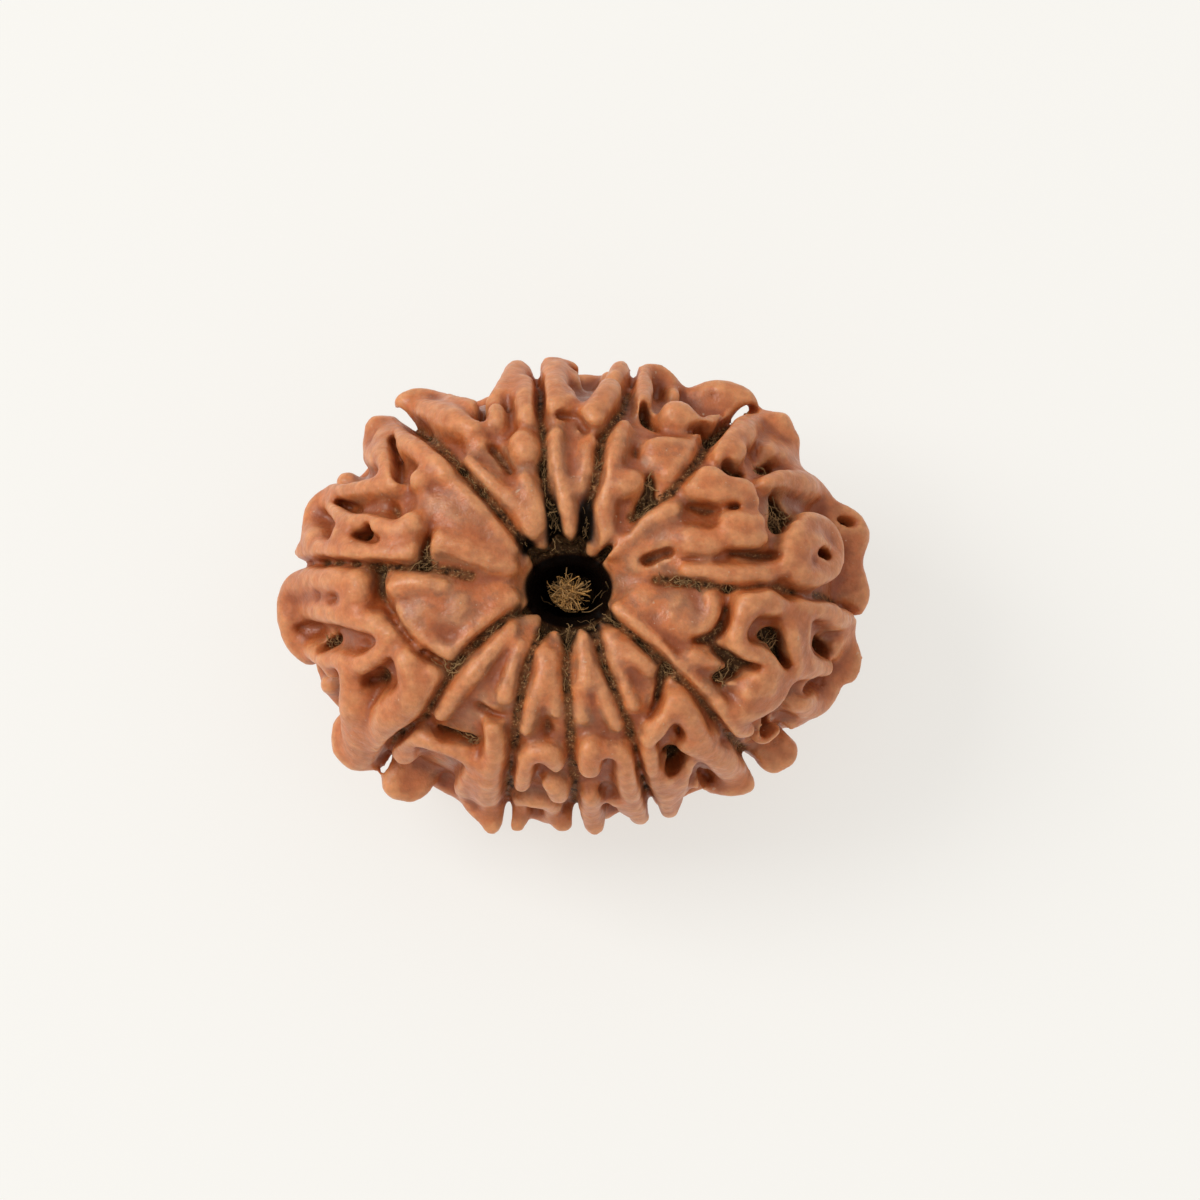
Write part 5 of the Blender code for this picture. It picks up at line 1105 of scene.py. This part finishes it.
def strands_mesh(name, strands, material, lumps=()):
    """One mesh of thin strands, each with a tone from 0, dark, to 2, palest, and of any lumps, which are dark."""
    item = bars_along(name, [path for path, _ in strands], 0, 2)
    spots = [(place, tone) for path, tone in strands for place, _ in path]
    finder = nearest_finder([place for place, _ in spots])
    marked(item.data, "tone", [spots[finder.find(vertex.co)[1]][1] for vertex in item.data.vertices])
    item = joined(name, [item, *lumps])
    alone(item)
    bpy.ops.object.mode_set(mode="EDIT")
    bpy.ops.mesh.select_all(action="SELECT")
    bpy.ops.mesh.remove_doubles(threshold=0.0005)
    bpy.ops.mesh.normals_make_consistent(inside=False)
    bpy.ops.object.mode_set(mode="OBJECT")
    item.data.transform(MADE["placing"])
    item.data.materials.clear()
    item.data.materials.append(material)
    item.data.shade_smooth()
    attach(item, "root")


class MESH_OT_rudraksha_stone(bpy.types.Operator):
    """Carve the stone: core, ridges, furrows, pits, wear, and its oiled finish"""

    bl_idname = "mesh.rudraksha_stone"
    bl_label = "Stone"

    def execute(self, context):
        settings = context.scene.bead_form
        bead = carved_stone(settings)
        bead.data.calc_loop_triangles()
        count = len(bead.data.loop_triangles)
        if count > settings.triangles:
            applied(bead, "DECIMATE", ratio=settings.triangles / count, use_collapse_triangulate=True)
        laid_down(bead)
        surface_marks(bead)
        bead.data.materials.clear()
        bead.data.materials.append(stone_material(context.scene.bead_colours))
        bead.data.shade_smooth()
        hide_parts("bead")
        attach(bead, "root")
        MADE["fibre"] = fibre_material(context.scene.bead_colours)
        return {"FINISHED"}


class MESH_OT_furrow_fibre(bpy.types.Operator):
    """Lay dried strands along the furrows and in the hollows"""

    bl_idname = "mesh.furrow_fibre"
    bl_label = "Fibre in the furrows"

    def execute(self, context):
        places, rng, strands = MADE["places"], Random(SEED + 1), []
        for stroke in FURROWS:
            for here, ahead in zip(stroke, stroke[1:]):
                start, _ = places.seen(here[0], here[1], 0.0)
                end, _ = places.seen(ahead[0], ahead[1], 0.0)
                way = (end - start).normalized()
                for count in range(FURROW_STRANDS):
                    begin = start.lerp(end, rng.random()) + random_way(rng) * 0.09
                    lift = rng.uniform(-0.5, 0.05)
                    path = surface_strand(
                        places, begin, way * rng.choice((-1.0, 1.0)), rng.uniform(0.2, 0.75), lift, 0.5,
                        rng.uniform(0.009, 0.018), rng
                    )
                    strands.append((path, rng.uniform(0.05, 0.9) ** 1.3))
        for across, up, spread, count in FIBRE_NESTS:
            for number in range(2 * count):
                begin, _ = places.seen(
                    across + rng.gauss(0.0, 0.4) * spread, up + rng.gauss(0.0, 0.22) * spread, 0.0
                )
                path = surface_strand(
                    places, begin, random_way(rng), rng.uniform(0.3, 0.9), rng.uniform(-0.5, 0.2), 0.6,
                    rng.uniform(0.011, 0.022), rng
                )
                strands.append((path, rng.uniform(0.35, 1.0)))
        strands_mesh("furrow_fibre", strands, MADE["fibre"])
        return {"FINISHED"}


class MESH_OT_hole_fibre(bpy.types.Operator):
    """Pack the stringing hole with the tangle of dried flesh that the drill left"""

    bl_idname = "mesh.hole_fibre"
    bl_label = "Fibre in the hole"

    def execute(self, context):
        rng, strands = Random(SEED + 2), []
        # Dark strands low on the plug: their dark, like the plug's, is painted shade deep in the bore
        low_middle = Vector(PLUG_PLACE[:2] + (0.0,))
        for number in range(DEEP_STRANDS):
            turn = rng.uniform(0.0, math.tau)
            out = 0.75 * math.sqrt(rng.random())
            place = low_middle + around_axis(out, turn, rng.uniform(0.8, 3.0))
            heading = random_way(rng)
            heading.z *= 0.5
            path = loose_strand(place, heading, 0.6, (0.07, 0.19), 0.024, 0.95, math.inf, rng)
            strands.append((path, rng.uniform(0.0, 0.15)))
        # The pale tuft above them
        tuft_middle = Vector(TUFT_PLACE + (0.0,))
        for number in range(TUFT_STRANDS):
            turn = rng.uniform(0.0, math.tau)
            out = 0.42 * math.sqrt(rng.random())
            place = tuft_middle + around_axis(out, turn, rng.gauss(TUFT_LEVEL, 0.35))
            heading = random_way(rng)
            heading.z *= 0.5
            path = loose_strand(place, heading, 0.6, (0.07, 0.19), 0.024, 1.1, math.inf, rng)
            strands.append((path, rng.uniform(1.0, 2.0)))
        # Strays round the wall of the mouth
        for number in range(STRAY_STRANDS):
            place = around_axis(1.2, rng.uniform(0.0, math.tau), rng.uniform(3.6, 5.4))
            along_wall = Vector((-place.y, place.x, 0.0)).normalized()
            heading = along_wall * rng.choice((-1.0, 1.0)) + random_way(rng) * 0.5
            path = loose_strand(place, heading, 0.4, (0.12, 0.3), 0.022, 1.4, 5.6, rng)
            strands.append((path, rng.uniform(0.05, 0.75)))
        strands_mesh("hole_fibre", strands, MADE["fibre"], [dried_plug()])
        return {"FINISHED"}


class SCENE_OT_bead_studio(bpy.types.Operator):
    """Pale floor, soft window on the left, pale light all round, and the camera"""

    bl_idname = "scene.bead_studio"
    bl_label = "Studio"

    def execute(self, context):
        stage = context.scene.bead_stage
        bpy.ops.object.select_all(action="DESELECT")
        bpy.ops.mesh.primitive_plane_add(size=FLOOR_SIZE, location=(0.0, 0.0, 0.0))
        floor = context.object
        floor.name = "floor"
        # The floor glows a little, a painted light that keeps its shadows faint and lights the bead from below
        material, tree, shader = material_named("Pale floor with a painted glow")
        shader.inputs["Base Color"].default_value = linear("8F8F8F")
        shader.inputs["Roughness"].default_value = 0.9
        shader.inputs["Specular IOR Level"].default_value = 0.2
        shader.inputs["Emission Color"].default_value = linear("FFFCF5")
        shader.inputs["Emission Strength"].default_value = 0.65
        floor.data.materials.append(material)

        lamp = bpy.data.lights.new("window", "AREA")
        lamp.shape = "SQUARE"
        lamp.size = WINDOW_SIZE
        lamp.energy = stage.side_light
        lamp.color = linear("FFFDF9")[:3]
        light = bpy.data.objects.new("window", lamp)
        light.location = WINDOW_PLACE
        target = Vector((0.0, 0.0, BEAD_MIDDLE_HEIGHT))
        light.rotation_euler = (target - Vector(WINDOW_PLACE)).to_track_quat("-Z", "Y").to_euler()
        context.scene.collection.objects.link(light)

        world = context.scene.world or bpy.data.worlds.new("studio")
        context.scene.world = world
        world.use_nodes = True
        background = world.node_tree.nodes["Background"]
        background.inputs["Color"].default_value = linear("FCFDFC")
        background.inputs["Strength"].default_value = stage.sky

        lens = bpy.data.cameras.new("camera")
        lens.sensor_width = SENSOR_MM
        lens.lens = LENS_MM
        lens.shift_x, lens.shift_y = LENS_SHIFT
        lens.clip_start = 0.01
        camera = bpy.data.objects.new("camera", lens)
        rise = math.radians(90.0 - LEAN - SIGHT)
        core_middle = MADE["placing"] @ Vector((0.0, 0.0, 0.0))
        away = Vector((0.0, -math.cos(rise), math.sin(rise)))
        camera.location = core_middle + away * SIGHT_DISTANCE * METRES_IN_A_MM
        camera.rotation_euler = (-away).to_track_quat("-Z", "Y").to_euler()
        context.scene.collection.objects.link(camera)
        context.scene.camera = camera
        context.scene.view_settings.view_transform = "Standard"
        context.scene.view_settings.look = "None"
        return {"FINISHED"}


class VIEW3D_PT_rudraksha(bpy.types.Panel):
    """The bead's operators, in the order in which they are run"""

    bl_label = "Rudraksha bead"
    bl_space_type = "VIEW_3D"
    bl_region_type = "UI"
    bl_category = "Bead"

    def draw(self, context):
        layout = self.layout
        for group in (context.scene.bead_form, context.scene.bead_colours, context.scene.bead_stage):
            box = layout.box()
            for name in group.__annotations__:
                box.prop(group, name)
        for name in ("mesh.rudraksha_stone", "mesh.furrow_fibre", "mesh.hole_fibre", "scene.bead_studio"):
            layout.operator(name)


CLASSES = (
    BeadForm, BeadColours, BeadStage, MESH_OT_rudraksha_stone, MESH_OT_furrow_fibre, MESH_OT_hole_fibre,
    SCENE_OT_bead_studio, VIEW3D_PT_rudraksha,
)


def register():
    for cls in CLASSES:
        bpy.utils.register_class(cls)
    bpy.types.Scene.bead_form = PointerProperty(type=BeadForm)
    bpy.types.Scene.bead_colours = PointerProperty(type=BeadColours)
    bpy.types.Scene.bead_stage = PointerProperty(type=BeadStage)


def unregister():
    del bpy.types.Scene.bead_form
    del bpy.types.Scene.bead_colours
    del bpy.types.Scene.bead_stage
    for cls in reversed(CLASSES):
        bpy.utils.unregister_class(cls)


def main():
    register()
    bpy.ops.mesh.rudraksha_stone()
    bpy.ops.mesh.furrow_fibre()
    bpy.ops.mesh.hole_fibre()
    bpy.ops.scene.bead_studio()


if __name__ == "__main__":
    main()
